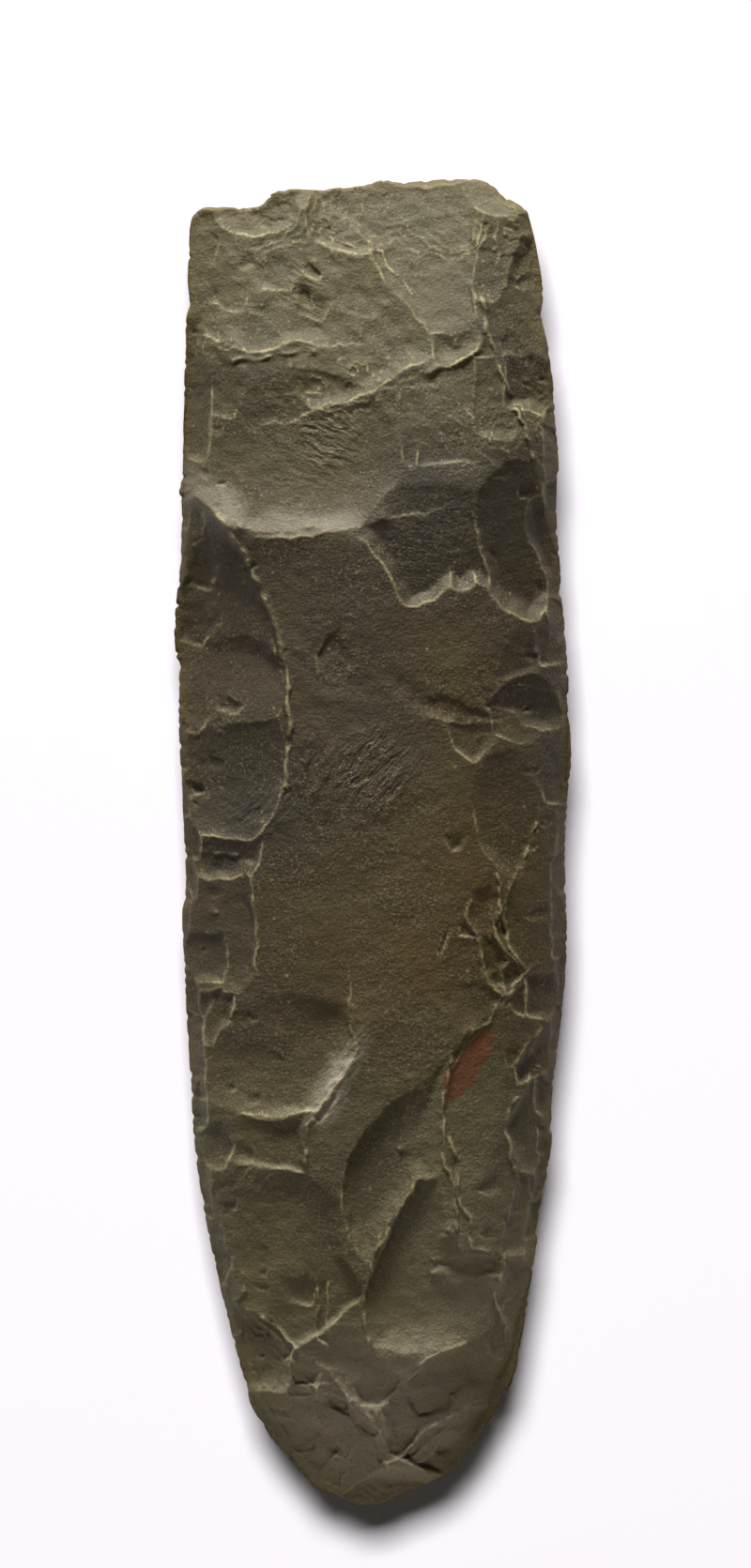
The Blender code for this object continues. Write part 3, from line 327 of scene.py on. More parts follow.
# Thin crests that the flakes' edges left standing, in mm: the line of each, its height and half its width
CRESTS = (
    (((-24.5, 52), (-20.5, 46), (-17.6, 40), (-15.2, 33.5), (-13.6, 27), (-13.2, 20), (-13.6, 13),
      (-13.4, 8.8)), 0.5, 0.4),
    (((-22.5, 49), (-19, 43.5), (-16.8, 38.6), (-15.6, 36)), 0.25, 0.25),
    (((-14.6, 30), (-13.9, 24), (-13.5, 21)), 0.25, 0.25),
    (((8.5, 73.5), (11, 75.5), (13, 76.2), (16.5, 77.7), (17.4, 79.6)), 0.6, 0.45),
    (((17.2, 86.5), (18, 81.5), (20.3, 75.5), (22.6, 69.8), (24, 66), (25.4, 61)), 0.45, 0.35),
    (((-22, 76.2), (-17, 76.8), (-13, 77.6), (-9, 78)), 0.35, 0.35),
    (((-7, 96.4), (-3, 94.6), (1.4, 94), (4, 89.6), (6.6, 86.6)), 0.25, 0.25),
    (((-3.3, -26.4), (-2.2, -31), (-4, -36), (-7, -41), (-10.4, -45), (-10.6, -52)), 0.4, 0.4),
    (((18.6, -28.4), (14.5, -32.4), (12.2, -36.5), (10.9, -43), (11.2, -49), (12.8, -55),
      (13.4, -61.5)), 0.35, 0.25),
    (((12.4, -46.8), (13.6, -50), (13.2, -55), (15.2, -60), (16, -64.6), (20, -65.4)), 0.3, 0.25),
    (((7.2, -53.3), (3.2, -60), (0, -66.5), (-1.4, -71.5), (-0.6, -79.5)), 0.35, 0.25),
    (((14.6, -79.6), (9, -82), (5, -86), (1.4, -90)), 0.35, 0.25),
    (((-1, -91), (1.2, -94), (2.6, -99.5)), 0.3, 0.25),
    (((4, -98.6), (8.7, -93.6), (13, -91), (15.6, -89.8)), 0.3, 0.3),
    (((5.4, -98.8), (10, -95), (13.4, -92)), 0.25, 0.25),
    (((-22, -73), (-18.4, -77.6), (-13.5, -80.4), (-12, -85), (-9, -86.5), (-4.5, -89)), 0.35, 0.3),
    (((26, -36), (23, -41), (21.2, -45), (22, -50), (23, -53)), 0.3, 0.3),
    (((28, -28.6), (24.4, -32.4), (22.6, -36)), 0.3, 0.3),
    (((25.8, 3), (24.3, -1), (22, -6.5), (20.7, -12), (22.2, -17.5), (24, -20)), 0.27, 0.22),
    (((19.5, -4.8), (20.3, -6.5), (20, -11), (19.2, -12.3), (20.3, -16), (23.2, -19.8)), 0.27, 0.22),
    (((15.8, -8.2), (14.7, -12), (16.6, -15.2), (17.9, -20), (18.3, -22), (20.6, -24.5)), 0.27, 0.22),
    (((26, -19), (23.8, -21), (20.6, -24.7), (18.3, -28.8), (15.8, -30), (12.4, -35)), 0.27, 0.25),
    (((-21, -68.5), (-20.2, -71), (-22, -73)), 0.25, 0.2),
    (((-17.5, -75.6), (-14.5, -77.4), (-12.2, -80.5), (-13.3, -83.5), (-12.4, -86)), 0.35, 0.22),
    (((-8.6, -71), (-8.8, -75), (-8.6, -79.5), (-6, -79.8)), 0.3, 0.2),
    (((-7, -70), (-7.6, -74), (-6.8, -79)), 0.25, 0.2),
    (((-9, -82.5), (-6.5, -84), (-5.5, -86), (-3.7, -89)), 0.35, 0.22),
    (((0.8, -91), (1.8, -93), (0.5, -93.8)), 0.25, 0.2),
    (((20.7, -66), (20.6, -69.5), (19.6, -72.5), (20.3, -75.8)), 0.35, 0.22),
    (((20.5, -75), (21.5, -73), (23.6, -72)), 0.25, 0.2),
    (((21.2, -77), (21.5, -81), (22.6, -83)), 0.3, 0.2),
    (((12, -61), (13, -63.5), (15.2, -65.5), (10, -66)), 0.3, 0.2),
    (((-19.5, -83), (-18, -88), (-14.5, -94), (-11, -98.5)), 0.3, 0.25),
    (((-25, -1.6), (-21.4, -2.2), (-19.4, -5.6), (-18.5, -12), (-18.4, -21)), 0.3, 0.25),
)

# Edge of the stone: blade and butt from left to right, margins from blade to butt
BLADE_LINE = (
    (-29.1, 97.8), (-28.6, 99.7), (-27.2, 101.0), (-25.5, 101.3), (-20.0, 101.1), (-17.6, 101.6),
    (-16.2, 103.3), (-14.0, 104.0), (-8.5, 104.2), (-2.5, 104.7), (1.8, 105.7), (4.5, 105.3),
    (9.0, 105.7), (14.7, 106.0), (18.3, 105.3), (21.2, 103.1), (24.4, 101.0), (24.9, 99.8),
)
RIGHT_LINE = (
    (24.9, 99.8), (26.1, 95.2), (27.2, 88.0), (27.1, 83.6), (28.5, 76.0), (29.3, 66.0), (29.7, 59.5),
    (29.4, 52.8), (30.0, 43.0), (31.3, 25.5), (31.1, 22.5), (31.7, 13.5), (30.7, -0.5), (31.0, -19.0),
    (28.9, -38.8), (28.5, -49.0), (26.2, -61.5), (26.1, -65.0), (22.9, -84.0), (20.6, -88.9), (16.5, -96.1),
)
BUTT_LINE = (
    (-16.3, -95.0), (-10.3, -101.8), (-8.9, -103.2), (-7.0, -103.7), (-4.0, -105.1), (-1.8, -105.9),
    (1.6, -105.6), (4.2, -104.3), (11.8, -100.9), (14.0, -98.6), (16.5, -96.1),
)
LEFT_LINE = (
    (-29.1, 97.8), (-29.4, 89.5), (-29.2, 85.5), (-29.7, 82.0), (-30.1, 67.0), (-30.3, 59.0), (-30.9, 55.8),
    (-30.5, 53.5), (-30.6, 44.5), (-31.6, 34.5), (-30.8, 24.3), (-30.9, 19.0), (-29.8, -5.0), (-30.3, -13.5),
    (-29.0, -38.5), (-28.0, -51.5), (-25.0, -68.0), (-20.3, -86.5), (-19.0, -90.6), (-16.3, -95.0),
)

# The edge snakes up and down: its height off EDGE_HEIGHT, by y on the margins and by x on the blade
LEFT_RISE = (
    (-106, 0.8), (-80, 0.3), (-40, -0.4), (0, 0.4), (30, -0.4), (50, 0.2), (66, 0.8), (84, 2.6), (98, 1.0),
)
RIGHT_RISE = (
    (-106, 0.8), (-85, 0.4), (-50, 0.2), (-20, -0.6), (10, 0.4), (40, -0.4), (60, 0.4), (80, 0.8),
    (100, -0.8),
)
BLADE_RISE = (
    (-29.1, 1.0), (-22, 0.6), (-15, 1.0), (-8, 0.0), (0, -1.0), (9, -2.4), (15, -1.8), (24.9, -0.8),
)
BLADE_FROM = 97.5

# Plan of the blank: its half width, where that is widest, and how it runs from there to either end
HALF_WIDTH = 31.2
WIDEST_AT = 15.0
BUTT_END_RUN = 122.0
BUTT_ROUNDNESS = 3.2
BLADE_END_RUN = 91.0
BLADE_NARROWING = 2.6
BLADE_TAPER = 1.4

# Section across the blank: a higher boxiness is a flatter crown with steeper shoulders
FRONT_BOXINESS = 2.8
BACK_BOXINESS = 2.3
BOXIER_AT_BLADE = 5.0
SHOULDER = 0.8

# Section along the blank: a slight arch, and where and how it thins toward the blade and the butt
LENGTHWISE_ARCH = 0.2
ARCH_RUN = 106.0
BLADE_THINS_FROM = 42.0
BUTT_THINS_FROM = -45.0
THINNING_LENGTH = 66.0
THINNED_AT_BLADE = 0.95
BLADE_CURVE = 1.6
BUTT_CURVE = 2.2

# A scar's outline wanders by this much over a centimetre, and by this much in small nicks
OUTLINE_WAVER = 0.45
WAVER_SIZE = 9.0
OUTLINE_NICKS = 0.18
NICK_SIZE = 2.5

# The wall that a facet turns up outside its outline is straight this far out, and then curls up
WALL_STRAIGHT = 1.5
WALL_CURL = 0.4

# How much farther in a hollow goes on deepening where its flake was struck from
STRUCK_SIDE_REACH = 1.8

# A scar changes the face no farther than this outside its outline
SCAR_MARGIN = 5.0

# No face leaves the edge more steeply or more gently than this, the latter for so many mm from it
STEEPEST_EDGE = 2.2
GENTLEST_EDGE = 0.2
GENTLE_REACH = 6.0


class Facet(NamedTuple):
    """A flake scar that slants against the blank: its outline, and the plane that the flake left."""

    corners: tuple
    rim: tuple  # the place, where the flake came away, that its plane is measured from the blank
    drop: float  # how far below the blank the plane lies there
    slope: tuple = (0.0, 0.0)  # rise of the plane for each mm toward +X and toward +Y
    hollow: float = 0.3  # how much deeper its middle is than its corners
    follow: float = 0.0  # 0 for a plane, 1 for a floor that runs with the blank
    end: float = 1.2  # how steeply it turns up where the flake came away
    side: float = 0.4  # and along its sides
    lip: float = 0.12  # rounding where it turns up


class Hollow(NamedTuple):
    """A flake scar sunk into the face: its outline, and how the ground falls away inside it."""

    corners: tuple
    rim: tuple  # the place where the flake came away
    depth: float
    reach: float = 4.0  # how far in from its sides it is still getting deeper
    step: float = 0.8  # and how far in from the end where the flake came away


FRONT_FACETS = (
    # Blade end, where the light catches the slopes down to the edge
    Facet(((-8, 104), (0, 108), (15.6, 108), (15.6, 87), (16.2, 83), (13.5, 80.4), (9.5, 80.9),
           (7.5, 84), (6, 87), (1.5, 95)), (11.5, 80.7), 0.2, (0.03, -0.34), 0.2, 0, 1.4, 0.5),
    Facet(((-10, 106), (5, 107), (4, 98), (1.2, 94.4), (-2.5, 94.2), (-5, 94.9), (-8, 96.8)),
          (-2.5, 94.3), 1.1, (0, -0.34)),
    Facet(((-11.5, 102.9), (-8.5, 103.3), (-5.5, 100.2), (-2, 99), (0, 101), (-2, 107), (-11, 107)),
          (-5.5, 100.2), 1.4, (0, -0.3)),
    Facet(((-25, 104), (-24.2, 98.5), (-22.5, 97.4), (-20, 97), (-18.2, 97.3), (-14.8, 99.3),
           (-12.8, 102.4), (-17, 104)), (-20, 97.2), 0.8, (0, -0.4)),
    Facet(((-30.5, 99.3), (-26, 99.2), (-24.3, 98.3), (-24.7, 95.6), (-26.3, 94.3), (-30.5, 93)),
          (-24.8, 95.5), 0.6, (0.55, 0.3)),
    Facet(((15.6, 101.3), (24.5, 99.6), (26.5, 96), (22.6, 90), (21.5, 87.3), (20.2, 86.3), (17.2, 87),
           (15.6, 89)), (18, 86.5), 1.0, (-0.2, -0.22), 0.3, 0, 0.8),
    Facet(((15.6, 101.3), (24.5, 99.7), (28, 101), (20, 108), (14, 108)), (18, 101.2), 1.6, (0, -0.5)),
    # Right corner: facets turned over the edge, meeting in one long straight ridge
    Facet(((16.4, 80), (18.6, 81), (24.6, 67), (24.6, 65.6), (16.6, 65.8)), (17, 79), 0.1,
          (-0.36, -0.16), 0.1, 0, 0.4),
    Facet(((15.5, 87), (15.5, 80), (21, 64), (33, 64), (33, 92), (26, 97), (22.6, 91), (21.6, 87.6),
           (17.5, 87)), (18, 81.5), 0.12, (-0.62, -0.24), 0.1, 0, 0.8, 0.8),
    Facet(((21, 78), (21.6, 87.3), (23.4, 91.5), (25.8, 96.5), (33, 92), (33, 77.4), (27, 77.6)),
          (21.5, 82), 1.8, (-0.47, -0.17), 0.2, 0, 1.0, 0.6),
    Facet(((21.2, 77.6), (27, 77.6), (33, 77.4), (33, 69.4), (28, 69.6), (25, 70.4), (22.6, 69.8)),
          (24.5, 70), 3.0, (-0.58, 0.0), 0.2, 0, 1.3, 0.8),
    # The broad dish and the slopes beside it
    Facet(((-26.5, 76), (-11, 75.5), (-1, 71), (4.5, 66), (6.2, 58), (2.8, 57), (0.3, 54), (-1.2, 49.8),
           (-10, 49.2), (-18.6, 48.2), (-24.4, 51.2), (-27.8, 56.5), (-26.2, 70)), (-10, 49.2), 0.9,
          (0, 0), 2.2, 1, 1.3, 0.12),
    Facet(((8, 74.5), (16.5, 75), (16.9, 60.2), (7.2, 60), (7.3, 64), (5.5, 70)), (12, 60.3), 0.35,
          (-0.05, 0), 0.2, 0.5, 1.2, 0.3),
    Facet(((7.2, 60.2), (16.4, 60.3), (16.8, 50), (18, 42), (15.6, 43.4), (14, 41.3), (12.4, 42.5),
           (8.7, 39.8), (6.4, 38.8), (3.5, 44.5), (0.8, 48.7), (-1.2, 50), (0.3, 54), (2.8, 57),
           (6.2, 57.4)), (8.7, 39.8), 2.1, (0, 0.12), 0.3, 0.9, 1.3, 0.5),
    Facet(((15.7, 59), (16.5, 64), (19, 65.9), (32, 65.6), (32, 42), (29, 40.5), (25, 37.4), (20, 41),
           (17.5, 46), (16, 52)), (18, 46), 2.2, (-0.6, 0.15), 0.4, 0, 1.3, 0.7, 0.6),
    Facet(((26.4, 53), (30.5, 53.5), (33, 47), (30.2, 42.3), (27.6, 44), (26.2, 48)), (26.8, 46), 3.0,
          (-0.75, 0.1)),
    # Left margin and flank
    Facet(((-31, 84.5), (-29, 83.5), (-26.4, 76.5), (-25.5, 72), (-26.4, 64), (-27, 61.5), (-32, 62)),
          (-25.8, 70), 0.6, (1.1, 0), 0.2),
    Facet(((-32, 61), (-28.5, 58), (-27.2, 50), (-28.8, 43.5), (-32, 43)), (-27.8, 50), 0.5, (1.1, 0.1),
          0.2),
    Facet(((-27.8, 55), (-24.4, 51), (-21.3, 46), (-19, 42.3), (-17.1, 38.5), (-18.5, 36.5),
           (-25.5, 38), (-28.5, 46)), (-19, 42.5), 0.4, (0.78, 0.25), 0.4, 0.2),
    Facet(((-32, 43), (-28.8, 43.3), (-27, 44.5), (-25.8, 40.8), (-27.3, 38.3), (-32, 37)), (-26.3, 41),
          1.6, (0.5, -0.18)),
    Facet(((-27, 41), (-18.5, 38.5), (-16, 35.5), (-14.5, 31), (-14.1, 26.5), (-20, 29), (-32, 31),
           (-32, 38)), (-15.5, 33), 0.4, (0.7, 0.02), 0.3, 0.2),
    Facet(((-32, 31.5), (-20, 30.5), (-14.1, 27), (-13.5, 22.8), (-15.5, 19.2), (-24, 17.3),
           (-32, 16.6)), (-14, 24), 0.4, (0.6, -0.16), 0.3, 0.2),
    Facet(((-32, 16.4), (-24, 16.8), (-17, 18.4), (-14.2, 20.8), (-13.8, 16), (-14.2, 10), (-20, 3),
           (-32, 4)), (-14, 14), 0.4, (0.52, 0.06), 0.9, 0.3, 0.8, 0.12),
    Facet(((-32, 4.5), (-20, 3.5), (-16.5, 1.5), (-19, -3), (-25, -2.6), (-32, -3)), (-18.5, 0), 0.6,
          (0.55, 0.24), 0.4, 0.2),
    # Right margin
    Facet(((32, 36.5), (25, 36.8), (20, 30), (19.5, 26), (26.7, 28), (32, 30.5)), (20.5, 28), 0.2,
          (-0.5, 0.1), 0.3, 0.3, 0.6),
    Facet(((32, 30.5), (26.7, 28), (20, 24.3), (18, 22), (25, 21), (32, 20)), (18.8, 23), 0.4,
          (-0.5, 0.28), 0.3, 0.3),
    Facet(((18.5, 21.5), (32, 20.5), (32, 14.5), (25, 15.5), (19, 17)), (19.3, 18.6), 0.4,
          (-0.42, -0.18), 0.3, 0.3),
    Facet(((14, 12), (22, 14.5), (32, 14), (32, -2), (26, 2.8), (23, -5), (17.5, 0)), (16, 6), 0.15,
          (-0.36, 0.03), 0.3, 0.3, 0.7),
    Facet(((25.8, 2.8), (23.5, -4), (20.7, -11.5), (20.7, -14), (24.3, -20.3), (32, -18), (32, 3)),
          (21, -11), 0.5, (-0.5, 0.05)),
    Facet(((26, -19), (22.3, -22.8), (18.5, -28), (13.5, -33.5), (10.8, -44), (13.5, -48.8), (11, -54),
           (13.5, -62.5), (20.5, -65.4), (27, -66), (32, -52), (32, -28), (24.4, -26)), (12.4, -40),
          0.5, (-0.3, 0.02)),
    # The tip of the butt
    Facet(((2.9, -99.3), (12.5, -99.5), (15, -102), (2, -108), (-3, -106)), (4, -99.7), 0.3, (0, 0.9)),
)

FRONT_HOLLOWS = (
    # Blade end: long thinning scars struck down from the edge, with ledges where they stopped
    Hollow(((-31, 98), (-16, 106), (-5, 97), (-6.6, 79.7), (-10, 79), (-12.8, 79.9), (-14.5, 79.3),
            (-16.8, 78), (-19.8, 77.4), (-21.3, 80), (-25, 79.5), (-31, 84.5)), (-17, 78), 0.8, 6, 0.6),
    Hollow(((-9, 97), (1.2, 95), (4, 89.5), (8, 83.5), (9.7, 77), (5, 74.6), (0.5, 72), (-4, 69.7),
            (-9, 68.5), (-12, 71), (-14, 80)), (0, 72), 1.0, 6, 0.8),
    Hollow(((-13.6, 90.5), (-11, 89.3), (-9.4, 87), (-8.8, 84.9), (-11, 85.2), (-13.2, 87.4)),
           (-9.2, 85.8), 0.4, 1.5, 0.4),
    Hollow(((-12.4, 94), (-9.8, 92.6), (-8, 90.4), (-8.6, 89.4), (-11.2, 90.6), (-13, 92.4)),
           (-8.4, 89.8), 0.4, 1.5, 0.4),
    Hollow(((-27.2, 90.4), (-25, 89.6), (-24.2, 87.2), (-25, 85.4), (-27.6, 86)), (-24.8, 86),
           0.5, 1.5, 0.5),
    Hollow(((-22.4, 94.6), (-18.6, 93.4), (-17.8, 91.6), (-20.2, 90.8), (-22.8, 92.2)), (-18.4, 91.4),
           0.3, 1.5, 0.4),
    Hollow(((7.6, 74.2), (10.4, 74.4), (10.2, 72.2), (8, 72.4)), (9.5, 72.3), 0.25, 1.2, 0.5),
    Hollow(((9.7, 80.6), (16.3, 81.3), (17.3, 79.3), (13.8, 76.1), (11.5, 75.6), (9.6, 76.5)),
           (12.6, 75.8), 0.6, 2, 0.5),
    # Sunk scars beside the dish
    Hollow(((4, 65.5), (7.4, 65.5), (7.6, 63), (6.4, 59), (5, 60)), (6.2, 59.6), 0.35, 1.5, 0.6),
    # Left flank
    Hollow(((-18.3, 38.5), (-16.6, 36), (-14.6, 30.5), (-13.9, 27), (-15.2, 28.5), (-16.8, 33.5)),
           (-14.4, 29), 0.4, 1.2, 0.7),
    Hollow(((-25.8, 23.6), (-22.4, 23.4), (-20.2, 22), (-21.4, 20.2), (-25, 20.8)), (-21.4, 20.8),
           0.6, 1.5, 0.8),
    Hollow(((-30.4, 10), (-26.6, 9.2), (-26.4, 7.4), (-30, 6)), (-27, 7.8), 0.8, 1.5, 0.8),
    # Middle of the face
    Hollow(((-4.6, 34), (-7.2, 32), (-8.9, 29.5), (-8.5, 24), (-6, 22.5), (3, 22), (2.2, 24.5),
            (-2.2, 27.5), (-4, 31)), (-8, 30), 0.4, 4, 0.5),
    Hollow(((0.5, 31), (9, 24), (18.5, 20.5), (20, 19), (14, 18.5), (6, 21), (1, 25)), (12, 19.4),
           0.4, 3, 0.8),
    Hollow(((12, 19), (18.5, 19.6), (21, 17), (18, 14.5), (15.5, 12.3), (13.2, 15)), (14.3, 13.6),
           0.6, 2, 0.6),
    Hollow(((11.5, 1.4), (14.8, 1.2), (14.4, -1.2), (12, -1.6)), (13, -1.2), 0.4, 1.5, 0.6),
    # Lower left
    Hollow(((-25.2, -2), (-21.2, -1.9), (-19.3, -5), (-18.5, -12), (-18.4, -20), (-21, -24), (-36, -23),
            (-36, -2)), (-18.6, -12), 0.9, 5, 0.8),
    Hollow(((-36, -14.5), (-23.6, -14.7), (-23, -17.7), (-23.6, -22.7), (-36, -22)), (-23.4, -19),
           0.8, 2, 1.0),
    Hollow(((-36, -23), (-21.5, -24), (-22.4, -28), (-25, -32), (-36, -32)), (-22.4, -26.5),
           0.9, 2.5, 1.2),
    Hollow(((-19.3, -24.2), (-9.5, -24), (-3.3, -26), (-1.7, -30.5), (-2, -33.5), (-5.5, -38),
            (-9.3, -42.6), (-16.8, -43.9), (-20.5, -42.8), (-27, -41), (-29, -32), (-25, -29)),
           (-9.3, -42.6), 1.0, 7, 0.8),
    Hollow(((-3.2, -35), (-4.4, -37.2), (-5.8, -40.2), (-8, -45), (-9.6, -44), (-7.2, -40),
            (-4.6, -36)), (-8, -44), 0.45, 1.0, 0.8),
    Hollow(((-34, -41), (-20.5, -43), (-11, -44.6), (-10.8, -48), (-10.6, -52), (-22.5, -50.5),
            (-34, -52)), (-13, -51.5), 0.5, 3, 0.6),
    Hollow(((-36, -43), (-24, -44.8), (-22.2, -48.6), (-23.4, -52), (-36, -54)), (-23, -49),
           0.8, 2.5, 0.8),
    Hollow(((-24, -52.6), (-22, -50.9), (-10.6, -52.3), (-5, -57), (-4, -66), (-1.5, -72), (-8, -78),
            (-12.7, -81.3), (-20.5, -74), (-22.8, -67), (-34, -62), (-34, -56)), (-6, -74),
           0.7, 5, 0.8),
    Hollow(((-8.8, -69.5), (-6.9, -69.8), (-6.6, -74), (-7, -79.6), (-9, -79), (-9.3, -74)), (-7, -75),
           0.3, 1.1, 0.6),
    # Lower right: a sheaf of narrow scars struck in from the right margin
    Hollow(((13.3, -15.2), (16.4, -15.4), (17.8, -20.5), (18.4, -22.4), (20.4, -24.7), (18.3, -28.6),
            (14, -30), (11, -26), (10.4, -20)), (18.6, -26), 0.45, 5, 1.2),
    Hollow(((15.8, -8.2), (14.8, -12.3), (16.6, -15.2), (17.9, -20), (18.4, -22.2), (20.6, -24.5),
            (20.2, -21), (21.5, -18.6), (19.4, -14.5), (19.2, -12.3), (20.1, -9), (18.6, -6.5)),
           (20.2, -23.5), 0.75, 1.6, 1.0),
    Hollow(((20.3, -10.8), (19.2, -12.3), (19.6, -14.4), (21.6, -18.2), (23.4, -19.8), (22.2, -17.4),
            (21.3, -15), (20.8, -12)), (19.6, -13), 0.6, 0.7, 0.4),
    Hollow(((14.6, -11), (13.4, -15), (16.4, -15.3), (14.9, -12.6)), (14.6, -15.2), 0.35, 0.8, 0.3),
    Hollow(((13.4, -11.6), (11.9, -13.5), (10, -18.9), (11.4, -17.2), (12.8, -14)), (11, -18),
           0.4, 0.9, 0.4),
    Hollow(((21.6, -18.6), (23.2, -20), (23.6, -21), (20.8, -24.4), (20.1, -22.5), (20.6, -20.4)),
           (20.5, -23.8), 0.5, 0.8, 0.5),
    Hollow(((20.9, -24.9), (23.9, -21.6), (24.4, -27.8), (22.6, -27.2)), (24.2, -27), 0.5, 1.0, 0.4),
    Hollow(((36, -28.6), (28, -28.6), (22.6, -35.5), (22.9, -38), (36, -36)), (22.8, -36), 1.2, 3, 1.0),
    Hollow(((24.2, -21.2), (24.6, -27.4), (28, -28.4), (36, -27), (36, -19)), (24.6, -25), 0.9, 2, 0.8),
    Hollow(((25.3, -36.4), (21.2, -44.8), (22.9, -52.5), (36, -53), (36, -38)), (21.6, -44),
           1.1, 3, 0.8),
    Hollow(((22.9, -52.6), (20.6, -65.4), (34, -66), (36, -53)), (21.2, -60), 0.8, 3, 1.0),
    Hollow(((12.5, -33.5), (8.7, -37), (3, -42), (-1.8, -46), (-4.3, -50), (-5, -55), (-4.5, -60),
            (-1.5, -66), (7.2, -53.3), (10.2, -53.5), (11.5, -48.5), (11.2, -38.7)), (-4, -52),
           1.3, 4, 3),
    # Butt end
    Hollow(((7.2, -53.3), (3.2, -60.7), (-0.3, -67.5), (-1.5, -71.5), (-0.2, -80), (8.7, -81.6),
            (15, -80), (20.5, -76), (20.8, -66), (15.5, -65.2), (12, -61.5), (10.3, -53.8)),
           (1.2, -64.5), 1.2, 6, 1.0),
    Hollow(((9.5, -66), (15.5, -65.3), (20.6, -65.6), (20.6, -69), (13, -70)), (17, -66),
           0.5, 1.5, 0.6),
    Hollow(((20.8, -66), (19.8, -73), (21.8, -79), (22.4, -83), (34, -80), (34, -66)), (20.5, -74),
           1.0, 2, 0.8),
    Hollow(((8.7, -82.4), (15, -80), (22.5, -83), (30, -90), (15.5, -90), (8.7, -93.5), (3.7, -98),
            (1.3, -90), (5, -86)), (6, -85), 1.1, 4, 1.0),
    Hollow(((15.5, -90), (28, -89.5), (18, -99), (12.5, -101), (6.5, -99.8), (4, -98.2), (8.7, -93.6)),
           (9, -93.6), 0.9, 2, 0.8),
    Hollow(((-22.8, -67), (-20.5, -74), (-14.5, -80), (-12.7, -81.3), (-13.5, -87.5), (-26, -87.5),
            (-34, -70)), (-17.5, -77), 1.3, 3, 1.0),
    Hollow(((-19.4, -74.6), (-16, -76.2), (-12.3, -80.8), (-13.4, -82.4), (-17.5, -78.5), (-20.4, -76)),
           (-15, -79), 0.5, 0.9, 0.6),
    Hollow(((-26, -87), (-12, -86.8), (-4, -89), (-0.6, -91.5), (2.9, -99.5), (-2, -110), (-24, -104)),
           (-4, -90), 0.8, 5, 0.8),
    Hollow(((-12.7, -81.3), (-8, -78), (-0.2, -80.3), (5, -86), (1.2, -90), (-4, -89), (-11.5, -84.5)),
           (0, -84), 0.6, 3, 1.5),
    Hollow(((4.2, -98.2), (8.3, -93.6), (12, -92.4), (14.5, -90), (9, -90.5), (4, -93.4), (2.2, -94.4),
            (2.7, -97.5)), (4, -97), 0.6, 2.5, 0.5),
    Hollow(((6.2, -98.8), (8.6, -94.4), (13.2, -91.6), (14.9, -90.2), (12.3, -92.4), (8.2, -93.8),
            (4.6, -98)), (5.4, -98.4), 0.45, 0.6, 0.4),
    Hollow(((6.6, -99.2), (9.8, -97.6), (12, -94), (15.3, -93.6), (17.5, -95.5), (11.8, -100.5)),
           (7.4, -98.8), 0.7, 1.8, 0.5),
    Hollow(((-13, -82.5), (-12.4, -86.2), (-9.4, -86.2), (-8.9, -84), (-11, -82.6)), (-11, -86),
           0.6, 1.2, 0.4),
    Hollow(((-9, -86.4), (-5.5, -86), (-3.7, -89), (-3.2, -91.5), (-8, -90.5)), (-4.2, -90.6),
           0.5, 1.5, 0.4),
    Hollow(((-1, -90.5), (1.2, -93.8), (0, -94.4), (-3, -92.5)), (0, -94), 0.4, 0.8, 0.4),
    Hollow(((-14, -91), (-7, -93), (-5, -97), (-8, -100.5), (-13, -98), (-17, -93)), (-6, -97),
           0.5, 3, 0.8),
    Hollow(((-14.5, -69), (-10, -68.6), (-8.8, -71), (-9.6, -73.6), (-13.4, -73)), (-9.6, -73),
           0.4, 1.5, 0.5),
    Hollow(((-8.6, -83), (-6.3, -84.5), (-5.3, -87.2), (-3.5, -90.5), (-6, -91), (-8.6, -88)),
           (-5.6, -88), 0.4, 1.5, 0.5),
)

# Back face, plainer: wide scars in a row along each margin, and thinning scars at both ends
BACK_ROW_FROM = 62.0
BACK_ROW_STAGGER = 6.0
BACK_ROW_TO = -88.0
BACK_SCAR_LENGTH = 23.0
BACK_SCAR_HALVES = (0.42, 0.6)
BACK_SCAR_STEP = 0.875
BACK_RIDGE_GAP = 4.0
BACK_RIDGE_WANDER = 4.0
BACK_LEAN = 4.0
BACK_SLOPES = (0.3, 0.42)
BACK_TWIST = 0.06
BACK_DROPS = (0.1, 0.5)

# Scars of the back's ends: left, right, how far in they reach, and their drop under the blank
BACK_BLADE_SCARS = ((-31, -9, 76, 0.5), (-11, 11, 70, 0.7), (9, 29, 79, 0.4))
BACK_BUTT_SCARS = ((-22, 1, -72, 0.4), (-2, 22, -78, 0.4))

# Outlines that run off the stone end this far out
PAST_EDGE = 34.0
PAST_END = 108.0

# Small trimming scars all along the edge, in mm of edge and as slopes
TRIM_SHORTEST = 4.0
TRIM_LONGEST = 14.0
TRIM_SLOPES = (1.2, 2.0)
TRIM_REACH = (0.8, 2.6)
TRIM_TILT = 0.15
TRIM_HOLLOW = 0.2
TRIM_END_WALL = 1.6
TRIM_SIDE_WALL = 1.3
TRIM_GENTLEST = 0.8
TRIM_STEP = 0.9

# How their borders wander along the edge, and how raggedly they end: by how much, and over what size
TRIM_WANDER = 0.8
TRIM_WANDER_SIZE = 5.0
TRIM_RAGGEDNESS = 0.08
TRIM_RAGGED_SIZE = 4.0


